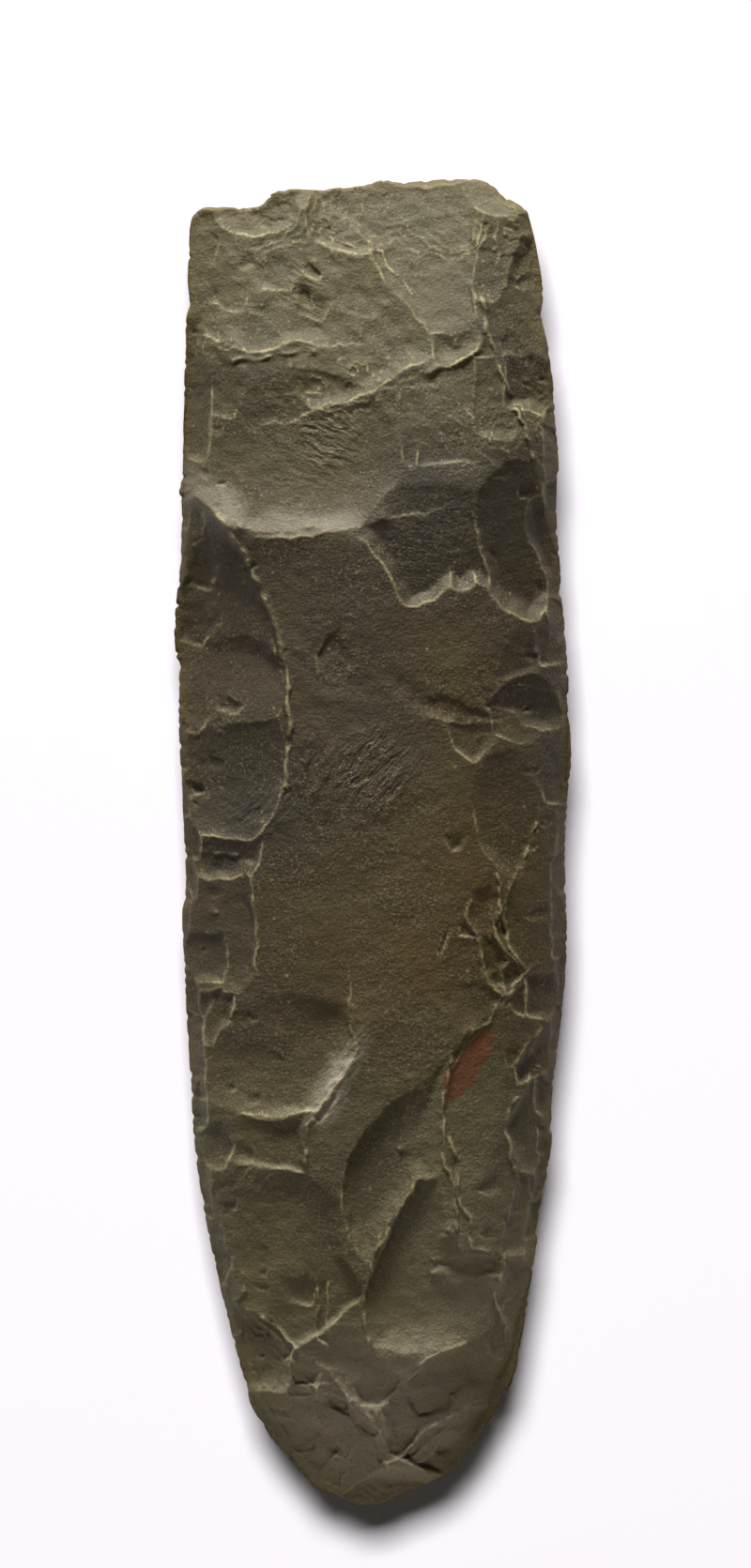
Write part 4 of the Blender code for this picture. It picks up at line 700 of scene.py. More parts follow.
def stations(line, count):
    """count points evenly spaced along the smooth curve through a line's points."""
    points = np.array(line, float)
    ends = np.vstack([2 * points[0] - points[1], points, 2 * points[-1] - points[-2]])
    t = np.linspace(0, 1, 20, endpoint=False)[:, None]
    spans = []
    for k in range(len(points) - 1):
        a, b, c, d = ends[k : k + 4]
        cubic = 2 * b + (c - a) * t + (2 * a - 5 * b + 4 * c - d) * t**2 + (3 * b - a - 3 * c + d) * t**3
        spans.append(cubic / 2)
    fine = np.vstack(spans + [points[-1:]])
    run = np.concatenate([[0], np.cumsum(np.hypot(*np.diff(fine, axis=0).T))])
    at = np.linspace(0, run[-1], count)
    return np.column_stack([np.interp(at, run, fine[:, 0]), np.interp(at, run, fine[:, 1])])


def edge_heights(x, y):
    """Height of the edge at points of it."""
    left = np.interp(y, *np.array(LEFT_RISE).T)
    right = np.interp(y, *np.array(RIGHT_RISE).T)
    blade = np.interp(x, *np.array(BLADE_RISE).T)
    return EDGE_HEIGHT / MM + np.where(y > BLADE_FROM, blade, np.where(x < 0, left, right))


def face_grid(rows, columns):
    """Rows and columns over the outline: each point blends its place on the four edge lines."""
    blade = stations(BLADE_LINE, columns + 1)[None, :, :]
    butt = stations(BUTT_LINE, columns + 1)[None, :, :]
    left = stations(LEFT_LINE, rows + 1)[:, None, :]
    right = stations(RIGHT_LINE, rows + 1)[:, None, :]
    across = np.linspace(0, 1, columns + 1)[None, :, None]
    along = np.linspace(0, 1, rows + 1)[:, None, None]
    between_ends = (1 - along) * blade + along * butt
    between_sides = (1 - across) * left + across * right
    blade_corners = (1 - across) * blade[:, :1] + across * blade[:, -1:]
    butt_corners = (1 - across) * butt[:, :1] + across * butt[:, -1:]
    grid = between_ends + between_sides - (1 - along) * blade_corners - along * butt_corners
    return grid[..., 0], grid[..., 1]


class Edge(NamedTuple):
    """For each point of a grid: distance to the edge, place along it, and the edge's height there."""

    distance: np.ndarray
    run: np.ndarray
    height: np.ndarray
    total: float


def nearest_edge(x, y):
    """The Edge of a grid, from the nearest of closely spaced points round the outline."""
    sides = (stations(BLADE_LINE, 200), stations(RIGHT_LINE, 600), stations(BUTT_LINE, 200)[::-1],
             stations(LEFT_LINE, 600)[::-1])
    loop = np.vstack([side[:-1] for side in sides])
    run = np.concatenate([[0], np.cumsum(np.hypot(*np.diff(loop, axis=0).T))])
    nearest = np.empty(x.size, int)
    flat_x, flat_y = x.ravel(), y.ravel()
    for start in range(0, x.size, 4000):
        some = slice(start, start + 4000)
        squares = (flat_x[some, None] - loop[:, 0]) ** 2 + (flat_y[some, None] - loop[:, 1]) ** 2
        nearest[some] = squares.argmin(axis=1)
    nearest = nearest.reshape(x.shape)
    # Then along the outline to the foot of the perpendicular, so that nothing steps from point to point
    tangent = np.roll(loop, -1, axis=0) - np.roll(loop, 1, axis=0)
    spacing = np.hypot(*tangent.T)
    tangent_x, tangent_y = tangent[nearest, 0] / spacing[nearest], tangent[nearest, 1] / spacing[nearest]
    off_x, off_y = x - loop[nearest, 0], y - loop[nearest, 1]
    slide = np.clip(off_x * tangent_x + off_y * tangent_y, -spacing[nearest] / 2, spacing[nearest] / 2)
    foot_x, foot_y = loop[nearest, 0] + slide * tangent_x, loop[nearest, 1] + slide * tangent_y
    distance = np.hypot(x - foot_x, y - foot_y)
    return Edge(distance, run[nearest] + slide, edge_heights(foot_x, foot_y), run[-1])


def blank_rise(x, y, rise, boxiness):
    """Height of the smooth blank off the edge plane: arched across, thinning toward both ends."""
    to_butt_end = np.clip((WIDEST_AT - y) / BUTT_END_RUN, 0, 1)
    to_blade_end = np.clip((y - WIDEST_AT) / BLADE_END_RUN, 0, 1)
    half = HALF_WIDTH * (1 - to_butt_end**BUTT_ROUNDNESS) ** 0.5 - BLADE_NARROWING * to_blade_end**BLADE_TAPER
    across = np.clip(np.abs(x) / np.maximum(half, 0.5), 0, 1)
    to_blade = np.clip((y - BLADE_THINS_FROM) / THINNING_LENGTH, 0, 1)
    to_butt = np.clip((BUTT_THINS_FROM - y) / THINNING_LENGTH, 0, 1)
    arch = 1 - LENGTHWISE_ARCH * ((y - WIDEST_AT) / ARCH_RUN) ** 2
    crown = rise * arch * (1 - THINNED_AT_BLADE * to_blade**BLADE_CURVE) * (1 - to_butt**BUTT_CURVE)
    return crown * (1 - across ** (boxiness + BOXIER_AT_BLADE * to_blade)) ** SHOULDER


def waver(x, y, size, seed):
    """A smooth irregular field between about -1 and 1, with features of this size: half a sum of waves."""
    random = np.random.default_rng(seed)
    waves = 9
    total = np.zeros(x.shape)
    for _ in range(waves):
        heading = random.uniform(0, 2 * math.pi)
        wave_length = size * random.uniform(0.7, 1.6)
        phase = random.uniform(0, 2 * math.pi)
        along = x * math.cos(heading) + y * math.sin(heading)
        total += np.sin(2 * math.pi * along / wave_length + phase)
    return total / (waves / 2)


def outline_distance(corners, x, y):
    """Distance to a closed outline, negative inside it."""
    nearest = np.full(x.shape, np.inf)
    inside = np.zeros(x.shape, bool)
    for (ax, ay), (bx, by) in zip(corners, corners[1:] + corners[:1]):
        side_x, side_y = bx - ax, by - ay
        from_x, from_y = x - ax, y - ay
        share = np.clip((from_x * side_x + from_y * side_y) / (side_x**2 + side_y**2), 0, 1)
        nearest = np.minimum(nearest, (from_x - side_x * share) ** 2 + (from_y - side_y * share) ** 2)
        if ay != by:
            inside ^= ((ay > y) != (by > y)) & (from_x < side_x * from_y / side_y)
    return np.sqrt(nearest) * np.where(inside, -1, 1)


def rim_cosine(scar, x, y):
    """1 straight toward the scar's rim from its middle, 0 at right angles to that and -1 behind it."""
    middle_x, middle_y = np.mean(scar.corners, axis=0)
    run_x, run_y = scar.rim[0] - middle_x, scar.rim[1] - middle_y
    off_x, off_y = x - middle_x, y - middle_y
    return (off_x * run_x + off_y * run_y) / (math.hypot(run_x, run_y) * np.hypot(off_x, off_y) + 0.01)


def facet_height(facet, x, y, away, rise, boxiness):
    """Height of a facet off the edge plane, turned up outside its outline by the distance away."""
    corners = np.array(facet.corners, float)
    middle_x, middle_y = corners.mean(axis=0)
    size = np.hypot(*(corners - (middle_x, middle_y)).T).mean()
    rim_x, rim_y = facet.rim
    rim_height = float(blank_rise(np.array(rim_x, float), np.array(rim_y, float), rise, boxiness))
    off_middle = (x - middle_x) ** 2 + (y - middle_y) ** 2
    rim_off_middle = (rim_x - middle_x) ** 2 + (rim_y - middle_y) ** 2
    floor = rim_height - facet.drop + facet.slope[0] * (x - rim_x) + facet.slope[1] * (y - rim_y)
    floor = floor + facet.hollow * (off_middle - rim_off_middle) / size**2
    floor = floor + facet.follow * (blank_rise(x, y, rise, boxiness) - rim_height)
    steepness = facet.side + (facet.end - facet.side) * np.clip(rim_cosine(facet, x, y), 0, 1) ** 2
    wall = steepness * (np.sqrt(away**2 + facet.lip**2) + away) / 2
    return floor + wall + WALL_CURL * np.maximum(away - WALL_STRAIGHT, 0) ** 2


def hollow_depth(hollow, x, y, away):
    """Depth of a hollow: none on its outline, eased to its full depth inside, slowest at its far end."""
    cosine = rim_cosine(hollow, x, y)
    reach = hollow.reach * (1 + STRUCK_SIDE_REACH * np.clip(-cosine, 0, 1) ** 2)
    reach = reach + (hollow.step - hollow.reach) * np.clip(cosine, 0, 1) ** 2
    return hollow.depth * (1 - np.clip(1 + away / reach, 0, 1) ** 2)


def trimming(x, y, edge, seed):
    """Height off the edge of the small trimming scars, each a slanted facet beside the next.

    From the edge inward a facet climbs at its own slope as far as its own reach and then turns up,
    along the edge it tilts a little and is slightly hollow, and past its own width it turns up too.
    """
    random = np.random.default_rng(seed)
    run = edge.run + TRIM_WANDER * waver(x, y, TRIM_WANDER_SIZE, seed + 40)
    inward = edge.distance * (1 + TRIM_RAGGEDNESS * waver(x, y, TRIM_RAGGED_SIZE, seed + 41))
    surface = np.full(edge.run.shape, np.inf)
    start = 0.0
    while start < edge.total - TRIM_SHORTEST:
        half = random.uniform(TRIM_SHORTEST, TRIM_LONGEST) / 2
        slope = random.uniform(*TRIM_SLOPES)
        reach = random.uniform(*TRIM_REACH)
        tilt = random.uniform(-TRIM_TILT, TRIM_TILT)
        lean = random.uniform(-1, 1)
        off = (run - start - half + edge.total / 2) % edge.total - edge.total / 2 - lean * inward
        climb = slope * inward + TRIM_END_WALL * np.maximum(inward - reach, 0)
        hollow = TRIM_HOLLOW * (off / half) ** 2
        across = tilt * off + hollow + TRIM_SIDE_WALL * np.maximum(np.abs(off) - half, 0)
        surface = np.minimum(surface, climb + across)
        start += 2 * half * TRIM_STEP
    return np.maximum(surface, TRIM_GENTLEST * inward)


def carved_face(x, y, scars, rise, boxiness, seed):
    """Height off the edge plane of one face, front or back, after every scar in its order."""
    surface = blank_rise(x, y, rise, boxiness)
    warp_x = OUTLINE_WAVER * waver(x, y, WAVER_SIZE, seed + 1)
    warp_y = OUTLINE_WAVER * waver(x, y, WAVER_SIZE, seed + 2)
    warp_x = warp_x + OUTLINE_NICKS * waver(x, y, NICK_SIZE, seed + 3)
    warp_y = warp_y + OUTLINE_NICKS * waver(x, y, NICK_SIZE, seed + 4)
    for scar in scars:
        low, high = np.min(scar.corners, axis=0) - SCAR_MARGIN, np.max(scar.corners, axis=0) + SCAR_MARGIN
        near = (x > low[0]) & (x < high[0]) & (y > low[1]) & (y < high[1])
        near_x, near_y = x[near], y[near]
        away = outline_distance(scar.corners, near_x + warp_x[near], near_y + warp_y[near])
        if isinstance(scar, Facet):
            height = facet_height(scar, near_x, near_y, away, rise, boxiness)
            surface[near] = np.minimum(surface[near], height)
        else:
            surface[near] = surface[near] - hollow_depth(scar, near_x, near_y, away)
    return surface


def back_scars():
    """Scars of the back: two rows of wide ones, then three at the blade and two at the butt."""
    random = np.random.default_rng(31)
    scars = []
    for side in (-1, 1):
        middle = BACK_ROW_FROM + BACK_ROW_STAGGER * side
        while middle > BACK_ROW_TO:
            half = BACK_SCAR_LENGTH * random.uniform(*BACK_SCAR_HALVES)
            inner = BACK_RIDGE_GAP + random.uniform(0, BACK_RIDGE_WANDER)
            lean = random.uniform(-BACK_LEAN, BACK_LEAN)
            outer = side * PAST_EDGE
            corners = (
                (outer, middle + half), (side * (inner + 3), middle + half * 0.9 + lean),
                (side * inner, middle + lean), (side * (inner + 2), middle - half * 0.8 + lean),
                (outer, middle - half),
            )
            slope = (-side * random.uniform(*BACK_SLOPES), random.uniform(-BACK_TWIST, BACK_TWIST))
            drop = random.uniform(*BACK_DROPS)
            scars.append(Facet(corners, (side * (inner + 1), middle + lean), drop, slope, 0.9, 0.3))
            middle -= 2 * half * BACK_SCAR_STEP
    for left, right, reach, drop in BACK_BLADE_SCARS:
        rim = ((left + right) / 2, reach)
        corners = ((left, PAST_END), (right, PAST_END), (right - 3, reach + 4), rim, (left + 3, reach + 5))
        scars.append(Facet(corners, rim, drop, (0, -0.02), 0.4, 0.9))
    for left, right, reach, drop in BACK_BUTT_SCARS:
        rim = ((left + right) / 2, reach)
        corners = ((left, -PAST_END), (left + 4, reach - 4), rim, (right - 2, reach - 6), (right, -PAST_END))
        scars.append(Facet(corners, rim, drop, (0, 0.1), 0.3, 0.8))
    return tuple(scars)


def face_heights(x, y, edge):
    """Heights of the front and of the back over a grid, both meeting the edge line at the edge."""
    plane = EDGE_HEIGHT / MM
    front = plane + carved_face(x, y, FRONT_FACETS + FRONT_HOLLOWS, FRONT_RISE / MM, FRONT_BOXINESS, 0)
    back = plane - carved_face(x, y, back_scars(), BACK_DEPTH / MM, BACK_BOXINESS, 20)
    steep = STEEPEST_EDGE * edge.distance
    gentle = GENTLEST_EDGE * edge.distance - np.maximum(edge.distance - GENTLE_REACH, 0)
    front = np.minimum(front, edge.height + np.minimum(trimming(x, y, edge, 12), steep))
    back = np.maximum(back, edge.height - np.minimum(trimming(x, y, edge, 13), steep))
    return np.maximum(front, edge.height + gentle), np.minimum(back, edge.height - gentle)


def swelling(kind, x, y, seed):
    """A waver field of this kind's height and size."""
    height, size = kind
    return height * waver(x, y, size, seed)


def fracture_steps(x, y, seed):
    """Height of small steps where the crack jumped from one level to another, in mm.

    The broken field is rounded down to whole levels, with a short ramp between, and the field itself is
    taken away again, so that only the steps are left. They show in some areas more than in others.
    """
    levels = sum(swelling(field, x, y, seed + k) for k, field in enumerate(LEVEL_FIELDS))
    below = np.floor(levels)
    stepped = below + np.clip((levels - below) * STEP_SHARPNESS, 0, 1)
    rough = np.clip(waver(x, y, ROUGH_SIZE, seed + len(LEVEL_FIELDS)) + ROUGH_SHARE, 0, 1)
    return STEP_HEIGHT * rough * (stepped - levels)


def relief(x, y, seed):
    """The fracture's own unevenness, in mm: swellings of three sizes, and small steps.

    The finer part of it is multiplied by 1 + liveliness * way to the end, toward either end.
    """
    broad = swelling(BROAD_SWELLING, x, y, seed + 5)
    finer = swelling(MIDDLING_SWELLING, x, y, seed + 6) + swelling(FINE_SWELLING, x, y, seed + 7)
    to_blade = np.clip((y - BLADE_LIVELY_FROM) / BLADE_LIVELY_RUN, 0, 1)
    to_butt = np.clip((BUTT_LIVELY_FROM - y) / BUTT_LIVELY_RUN, 0, 1)
    livelier = 1 + BLADE_LIVELINESS * to_blade + BUTT_LIVELINESS * to_butt
    return broad + livelier * (finer + fracture_steps(x, y, seed + 12)) - RELIEF_SINK


def near_points(points, margin, x, y):
    """Which places lie within this margin of the box round some points."""
    low, high = np.min(points, axis=0) - margin, np.max(points, axis=0) + margin
    return (x > low[0]) & (x < high[0]) & (y > low[1]) & (y < high[1])


def line_distance(line, x, y):
    """Distance to a line of straight pieces, and whether the place lies to the left of its nearest one."""
    nearest = np.full(x.shape, np.inf)
    left = np.zeros(x.shape, bool)
    for (ax, ay), (bx, by) in zip(line, line[1:]):
        side_x, side_y = bx - ax, by - ay
        from_x, from_y = x - ax, y - ay
        share = np.clip((from_x * side_x + from_y * side_y) / (side_x**2 + side_y**2), 0, 1)
        off = np.hypot(from_x - side_x * share, from_y - side_y * share)
        left = np.where(off < nearest, side_x * from_y > side_y * from_x, left)
        nearest = np.minimum(nearest, off)
    return nearest, left


def ridges(x, y, seed):
    """Height of the ridges, in mm: height * exp(-distance / reach), so that each comes to a sharp top."""
    stray_x = x + swelling(RIDGE_STRAY, x, y, seed + 16)
    stray_y = y + swelling(RIDGE_STRAY, x, y, seed + 17) + swelling(RIDGE_JITTER, x, y, seed + 18)
    total = np.zeros(x.shape)
    for line, height, blade_reach, butt_reach in RIDGES:
        off, toward_blade = line_distance(line, stray_x, stray_y)
        total = np.maximum(total, height * np.exp(-off / np.where(toward_blade, blade_reach, butt_reach)))
    return total


def crests(x, y, seed):
    """Height of the thin crests, in mm: height * exp(-(distance / half width)^2), broken off in places."""
    stray_x = x + swelling(CREST_STRAY, x, y, seed + 8) + swelling(CREST_JITTER, x, y, seed + 9)
    stray_y = y + swelling(CREST_STRAY, x, y, seed + 10)
    kept = np.clip(CREST_SHARE + swelling(CREST_BREAKAGE, x, y, seed + 11), CREST_LEAST, CREST_MOST)
    total = np.zeros(x.shape)
    for line, height, half_width in CRESTS:
        near = near_points(line, CREST_MARGIN, x, y)
        off, _ = line_distance(line, stray_x[near], stray_y[near])
        total[near] = np.maximum(total[near], height * kept[near] * np.exp(-((off / half_width) ** 2)))
    return total


def small_scars():
    """Little chips along both margins and round the butt, each a ragged oval sunk into the face."""
    random = np.random.default_rng(77)
    chips = []
    for _ in range(SMALL_SCARS):
        side = random.choice((-1, 1))
        y = random.uniform(CHIPS_FROM, CHIPS_TO)
        to_butt = np.clip((CHIP_BUTT_FROM - y) / CHIP_BUTT_RUN, 0, 1)
        half_width = CHIP_HALF_WIDTH * (1 - to_butt**CHIP_BUTT_ROUNDNESS) ** 0.5
        x = side * half_width * (1 - random.uniform(*CHIP_WAY_IN) ** CHIP_CROWDING)
        length = random.uniform(*CHIP_LENGTHS)
        angles = np.sort(random.uniform(0, 2 * math.pi, CHIP_CORNERS))
        radii = length * random.uniform(*CHIP_RADII, CHIP_CORNERS)
        corners = tuple(
            (x + radius * math.cos(angle), y + CHIP_FLATNESS * radius * math.sin(angle))
            for angle, radius in zip(angles, radii)
        )
        heading = random.uniform(-CHIP_TURN, CHIP_TURN) + (math.pi if side > 0 else 0)
        rim = (x + length * math.cos(heading), y + length * math.sin(heading))
        depth = random.uniform(*CHIP_DEPTHS)
        chips.append(Hollow(corners, rim, depth, CHIP_REACH * length, CHIP_STEP))
    return tuple(chips)


def chipped(x, y, seed):
    """Depth of the little chips and the last small flakes, in mm: the deepest where they overlap."""
    total = np.zeros(x.shape)
    stray_x = x + swelling(CHIP_STRAY, x, y, seed + 3)
    for chip in small_scars() + tuple(Hollow(*flake) for flake in LAST_FLAKES):
        near = near_points(chip.corners, CHIP_MARGIN, x, y)
        away = outline_distance(chip.corners, stray_x[near], y[near])
        total[near] = np.maximum(total[near], hollow_depth(chip, x[near], y[near], away))
    return total


def nicked(x, y, edge):
    """The plan with a ragged edge: points near the edge moved inward, by wavers that run along the edge.

    The move is depth * (max(0, fine waver) + share * max(0, wide waver)) * exp(-distance / reach), toward
    the stone's middle line at the margins and lengthwise at the two ends.
    """
    level = np.zeros(edge.run.shape)
    fine = np.maximum(waver(edge.run, level, FINE_NICK_SIZE, 61), 0)
    wide = np.maximum(waver(edge.run, level, WIDE_NICK_SIZE, 62), 0)
    move = NICK_DEPTH * (fine + WIDE_NICK_SHARE * wide) * np.exp(-edge.distance / NICK_REACH)
    at_end = np.clip((np.abs(y) - END_NICKS_FROM) / END_NICKS_BLEND, 0, 1)
    return x - np.sign(x) * move * (1 - at_end), y - np.sign(y) * move * at_end


def dressed_faces(x, y, edge):
    """Heights of the front and of the back with their fine detail, which fades out at the edge."""
    front, back = face_heights(x, y, edge)
    calm = np.clip(edge.distance / CALM_REACH, 0, 1)
    front = front - calm * chipped(x, y, 0)
    front = front + calm * (relief(x, y, 0) + ridges(x, y, 0) + crests(x, y, 0))
    return front, back - calm * relief(x, y, 20)


def fitted(x, y, front, back):
    """The surface stretched in plan to the solid's box, and cut off a hair inside its top and bottom."""
    low, high = (np.array(corner) / MM for corner in CAD_BOX)
    fit = (high - low - 2 * SIDE_INSET)[:2] / (np.ptp(x), np.ptp(y))
    x = low[0] + SIDE_INSET + (x - x.min()) * fit[0]
    y = low[1] + SIDE_INSET + (y - y.min()) * fit[1]
    return x, y, np.minimum(front, high[2] - TOP_INSET), np.maximum(back, low[2] + UNDER_INSET)


def neighbour_mean(values, reach):
    """Mean of the values in a square of this many grid steps either way, by running sums."""
    padded = np.pad(values, reach, mode="edge")
    width = 2 * reach + 1
    for axis in (0, 1):
        total = np.cumsum(np.insert(padded, 0, 0, axis=axis), axis=axis)
        ends = np.take(total, range(width, total.shape[axis]), axis=axis)
        padded = (ends - np.take(total, range(total.shape[axis] - width), axis=axis)) / width
    return padded


def arris_and_hollow(surface, spacing):
    """How far each point stands over or under its neighbours: near 1 on a sharp ridge or in a cleft."""
    reach = max(1, round(NEIGHBOUR_REACH / spacing))
    over = surface - neighbour_mean(surface, reach)
    arris = np.clip(over / ARRIS_RISE - ARRIS_LEAST, 0, 1)
    hollow = np.clip(-over / CLEFT_DROP - CLEFT_LEAST, 0, 1)
    return arris, hollow


def both_faces(front, back):
    """Values of the front's points, and then of the back's without the edge, which the two share."""
    return np.concatenate([front.ravel(), back[1:-1, 1:-1].ravel()])


def quads(index):
    """The four corners of each cell of a grid of vertex numbers."""
    return np.stack([index[:-1, :-1], index[1:, :-1], index[1:, 1:], index[:-1, 1:]], axis=-1).reshape(-1, 4)


def closed_mesh(x, y, front, back):
    """A mesh of the two faces, joined along the edge."""
    front_index = np.arange(x.size).reshape(x.shape)
    back_index = front_index.copy()
    inside = back_index[1:-1, 1:-1]
    inside[:] = x.size + np.arange(inside.size).reshape(inside.shape)
    points = np.column_stack([both_faces(x, x), both_faces(y, y), both_faces(front, back)])
    faces = np.vstack([quads(front_index), quads(back_index)[:, ::-1]])
    mesh = bpy.data.meshes.new("axe_head_surface")
    mesh.from_pydata((points * MM).tolist(), [], faces.tolist())
    mesh.update()
    mesh.shade_smooth()
    return mesh


def add_attribute(mesh, name, values):
    """Stores one number for each vertex, which the material reads."""
    layer = mesh.attributes.new(name, "FLOAT", "POINT")
    layer.data.foreach_set("value", values.astype(np.float32))


def stone_mesh(spacing_mm):
    """The dressed stone, marked where ridges, clefts and the thin margin lie.

    With it comes, for each of its points, how readily that point may be merged away.
    """
    x, y = face_grid(round(GRID_LENGTH / spacing_mm), round(GRID_WIDTH / spacing_mm))
    edge = nearest_edge(x, y)
    front, back = dressed_faces(x, y, edge)
    x, y = nicked(x, y, edge)
    x, y, front, back = fitted(x, y, front, back)
    mesh = closed_mesh(x, y, front, back)
    front_arris, front_hollow = arris_and_hollow(front, spacing_mm)
    front_arris = front_arris * np.clip(edge.distance / ARRIS_FADE, ARRIS_FADED, 1)
    back_arris, back_hollow = arris_and_hollow(-back, spacing_mm)
    margin = np.exp(-edge.distance / MARGIN_FADE)
    add_attribute(mesh, "arris", both_faces(front_arris, back_arris))
    add_attribute(mesh, "hollow", both_faces(front_hollow, back_hollow))
    add_attribute(mesh, "margin", both_faces(margin, margin))
    busy_front = neighbour_mean(np.maximum(front_arris, front_hollow), 1) > BUSY_FRONT
    busy_back = neighbour_mean(np.maximum(back_arris, back_hollow), 1) > BUSY_BACK
    front_merge = np.where(busy_front, 0.0, FLAT_FRONT_SHARE)
    return mesh, both_faces(front_merge, np.where(busy_back, BUSY_BACK_SHARE, PLAIN_BACK_SHARE))


def linear(hex_colour):
    """A #rrggbb sRGB colour as the linear values that shaders use."""
    parts = [int(hex_colour[k : k + 2], 16) / 255 for k in (1, 3, 5)]
    return tuple(p / 12.92 if p <= 0.04045 else ((p + 0.055) / 1.055) ** 2.4 for p in parts)


def add_node(tree, kind, inputs, output=0, **settings):
    """Adds a node with its settings; each input is another node's output or a value."""
    node = tree.nodes.new(kind)
    for name, value in settings.items():
        setattr(node, name, value)
    for name, value in inputs.items():
        if isinstance(value, bpy.types.NodeSocket):
            tree.links.new(value, node.inputs[name])
        else:
            node.inputs[name].default_value = value
    return node.outputs[output]


def noise(tree, place, size, detail, roughness=0.5, output=0):
    """Cloudy noise with lumps of this size, in metres."""
    inputs = {"Vector": place, "Scale": 1 / size, "Detail": detail, "Roughness": roughness}
    return add_node(tree, "ShaderNodeTexNoise", inputs, output)


def spread(tree, value, absent, full, least=0.0, most=1.0):
    """least where the value is at absent, most where it is at full, and evenly between them."""
    inputs = {"Value": value, "From Min": absent, "From Max": full, "To Min": least, "To Max": most}
    return add_node(tree, "ShaderNodeMapRange", inputs)


def product(tree, first, second):
    """The first value times the second."""
    return add_node(tree, "ShaderNodeMath", {0: first, 1: second}, operation="MULTIPLY")


def product_sum(tree, first, second, total):
    """The first value times the second, plus the total."""
    return add_node(tree, "ShaderNodeMath", {0: first, 1: second, 2: total}, operation="MULTIPLY_ADD")


def oval(tree, place, centre_mm, radii_mm, turn_degrees, softness):
    """1 inside an oval drawn on the face that shows, and 0 outside it, over a soft rim."""
    centred = add_node(tree, "ShaderNodeMapping", {
        "Vector": place,
        "Location": (centre_mm[0] * MM, centre_mm[1] * MM, OVAL_HEIGHT),
        "Rotation": (0, 0, math.radians(turn_degrees)),
        "Scale": (radii_mm[0] * MM, radii_mm[1] * MM, OVAL_DEPTH),
    }, vector_type="TEXTURE")
    from_middle = add_node(tree, "ShaderNodeVectorMath", {0: centred}, "Value", operation="LENGTH")
    return spread(tree, from_middle, 1 + softness, 1 - softness)


def strayed(tree, place, lump, distance):
    """The place moved about by up to this distance, so that what is drawn there has a ragged outline."""
    lumps = noise(tree, place, lump, STRAY_DETAIL, output="Color")
    centred = add_node(tree, "ShaderNodeVectorMath", {0: lumps, 1: (0.5, 0.5, 0.5)}, operation="SUBTRACT")
    reach = (2 * distance, 2 * distance, 2 * distance)
    return add_node(tree, "ShaderNodeVectorMath", {0: centred, 1: reach, 2: place}, operation="MULTIPLY_ADD")


def sparse_flecks(tree, place):
    """1 where a fleck lies: at the middle of a cell, in the few cells whose random colour is red enough."""
    cells = {"Vector": place, "Scale": 1 / FLECK_SPACING}
    from_middle = add_node(tree, "ShaderNodeTexVoronoi", cells, "Distance")
    cell_colour = add_node(tree, "ShaderNodeTexVoronoi", cells, "Color")
    redness = add_node(tree, "ShaderNodeSeparateColor", {0: cell_colour}, "Red")
    return product(tree, spread(tree, from_middle, *FLECK_RIM), spread(tree, redness, *FLECK_CHANCE))


def stone_layers(tree, look, place):
    """Every layer of colour, the lowest first.

    Each says where it lies, the values there at which it is absent and at which it is full, its strength
    and its colour. Places along the stone are in metres.
    """
    stray = strayed(tree, place, *ZONE_STRAY)
    along = add_node(tree, "ShaderNodeSeparateXYZ", {0: stray}, "Y")
    clouds = noise(tree, place, *CLOUDS)
    patches = noise(tree, place, *PATCHES)
    speckle = noise(tree, place, *SPECKLE)
    # The pale grains stand out in some places and hardly at all in others
    granular = product(tree, spread(tree, speckle, 0.55, 0.68), spread(tree, clouds, 0.4, 0.62, 0.25))
    tint_place = add_node(tree, "ShaderNodeMapping", {"Vector": place, "Location": (TINT_SHIFT, 0, 0)})
    tints = noise(tree, tint_place, *TINTS)
    arris, hollow, margin = (
        add_node(tree, "ShaderNodeAttribute", {}, "Fac", attribute_name=name)
        for name in ("arris", "hollow", "margin")
    )
    # Pale lines on the ridges: partly crushed stone, partly a painted highlight where they catch the light
    crushed_and_highlight = product(tree, arris, spread(tree, patches, 0.4, 0.6, 0.3))
    rust_place = strayed(tree, place, *RUST_STRAY)
    return (
        (along, 0.040, 0.085, 1.0, look.pale_skin),
        (along, -0.020, -0.085, 1.0, look.grey_skin),
        (tints, 0.45, 0.75, 0.5, look.green_skin),
        *((oval(tree, stray, *where), 0, 1, share, look.ochre) for *where, share in OCHRE_STAINS),
        (clouds, 0.35, 0.7, 0.35, look.dark_skin_and_painted_shade),
        # Painted shade in the darker clouds, painted light in the paler ones
        *(
            (oval(tree, stray, *where, CLOUD_SOFTNESS), 0, 1, share, colour)
            for cloudy, colour in ((PAINTED_SHADE_CLOUDS, look.dark_skin_and_painted_shade), (PAINTED_LIGHT_CLOUDS, look.painted_light))
            for *where, share in cloudy
        ),
        (granular, 0, 1, 0.9, look.pale_grain),
        (speckle, 0.47, 0.3, 0.55, look.dark_skin_and_painted_shade),
        (oval(tree, rust_place, *RUST_PATCH), 0, 1, 0.85, look.rust),
        (hollow, 0, 1, 0.45, look.dark_skin_and_painted_shade),
        # Painted light: the glow of light shining through the thin margin
        (margin, 0, 1, 0.5, look.thin_edge_glow),
        (crushed_and_highlight, 0, 1, 0.58, look.crushed_and_highlight),
        (sparse_flecks(tree, place), 0, 1, 0.7, look.fleck),
    )


def stone_colour(tree, look, place):
    """Base colour: the skin, with each layer mixed over what lies under it."""
    skin = (*look.skin, 1)
    for value, absent, full, strength, colour in stone_layers(tree, look, place):
        factor = spread(tree, value, absent, full, most=strength)
        skin = add_node(tree, "ShaderNodeMix", {0: factor, 6: skin, 7: (*colour, 1)}, 2, data_type="RGBA")
    return skin


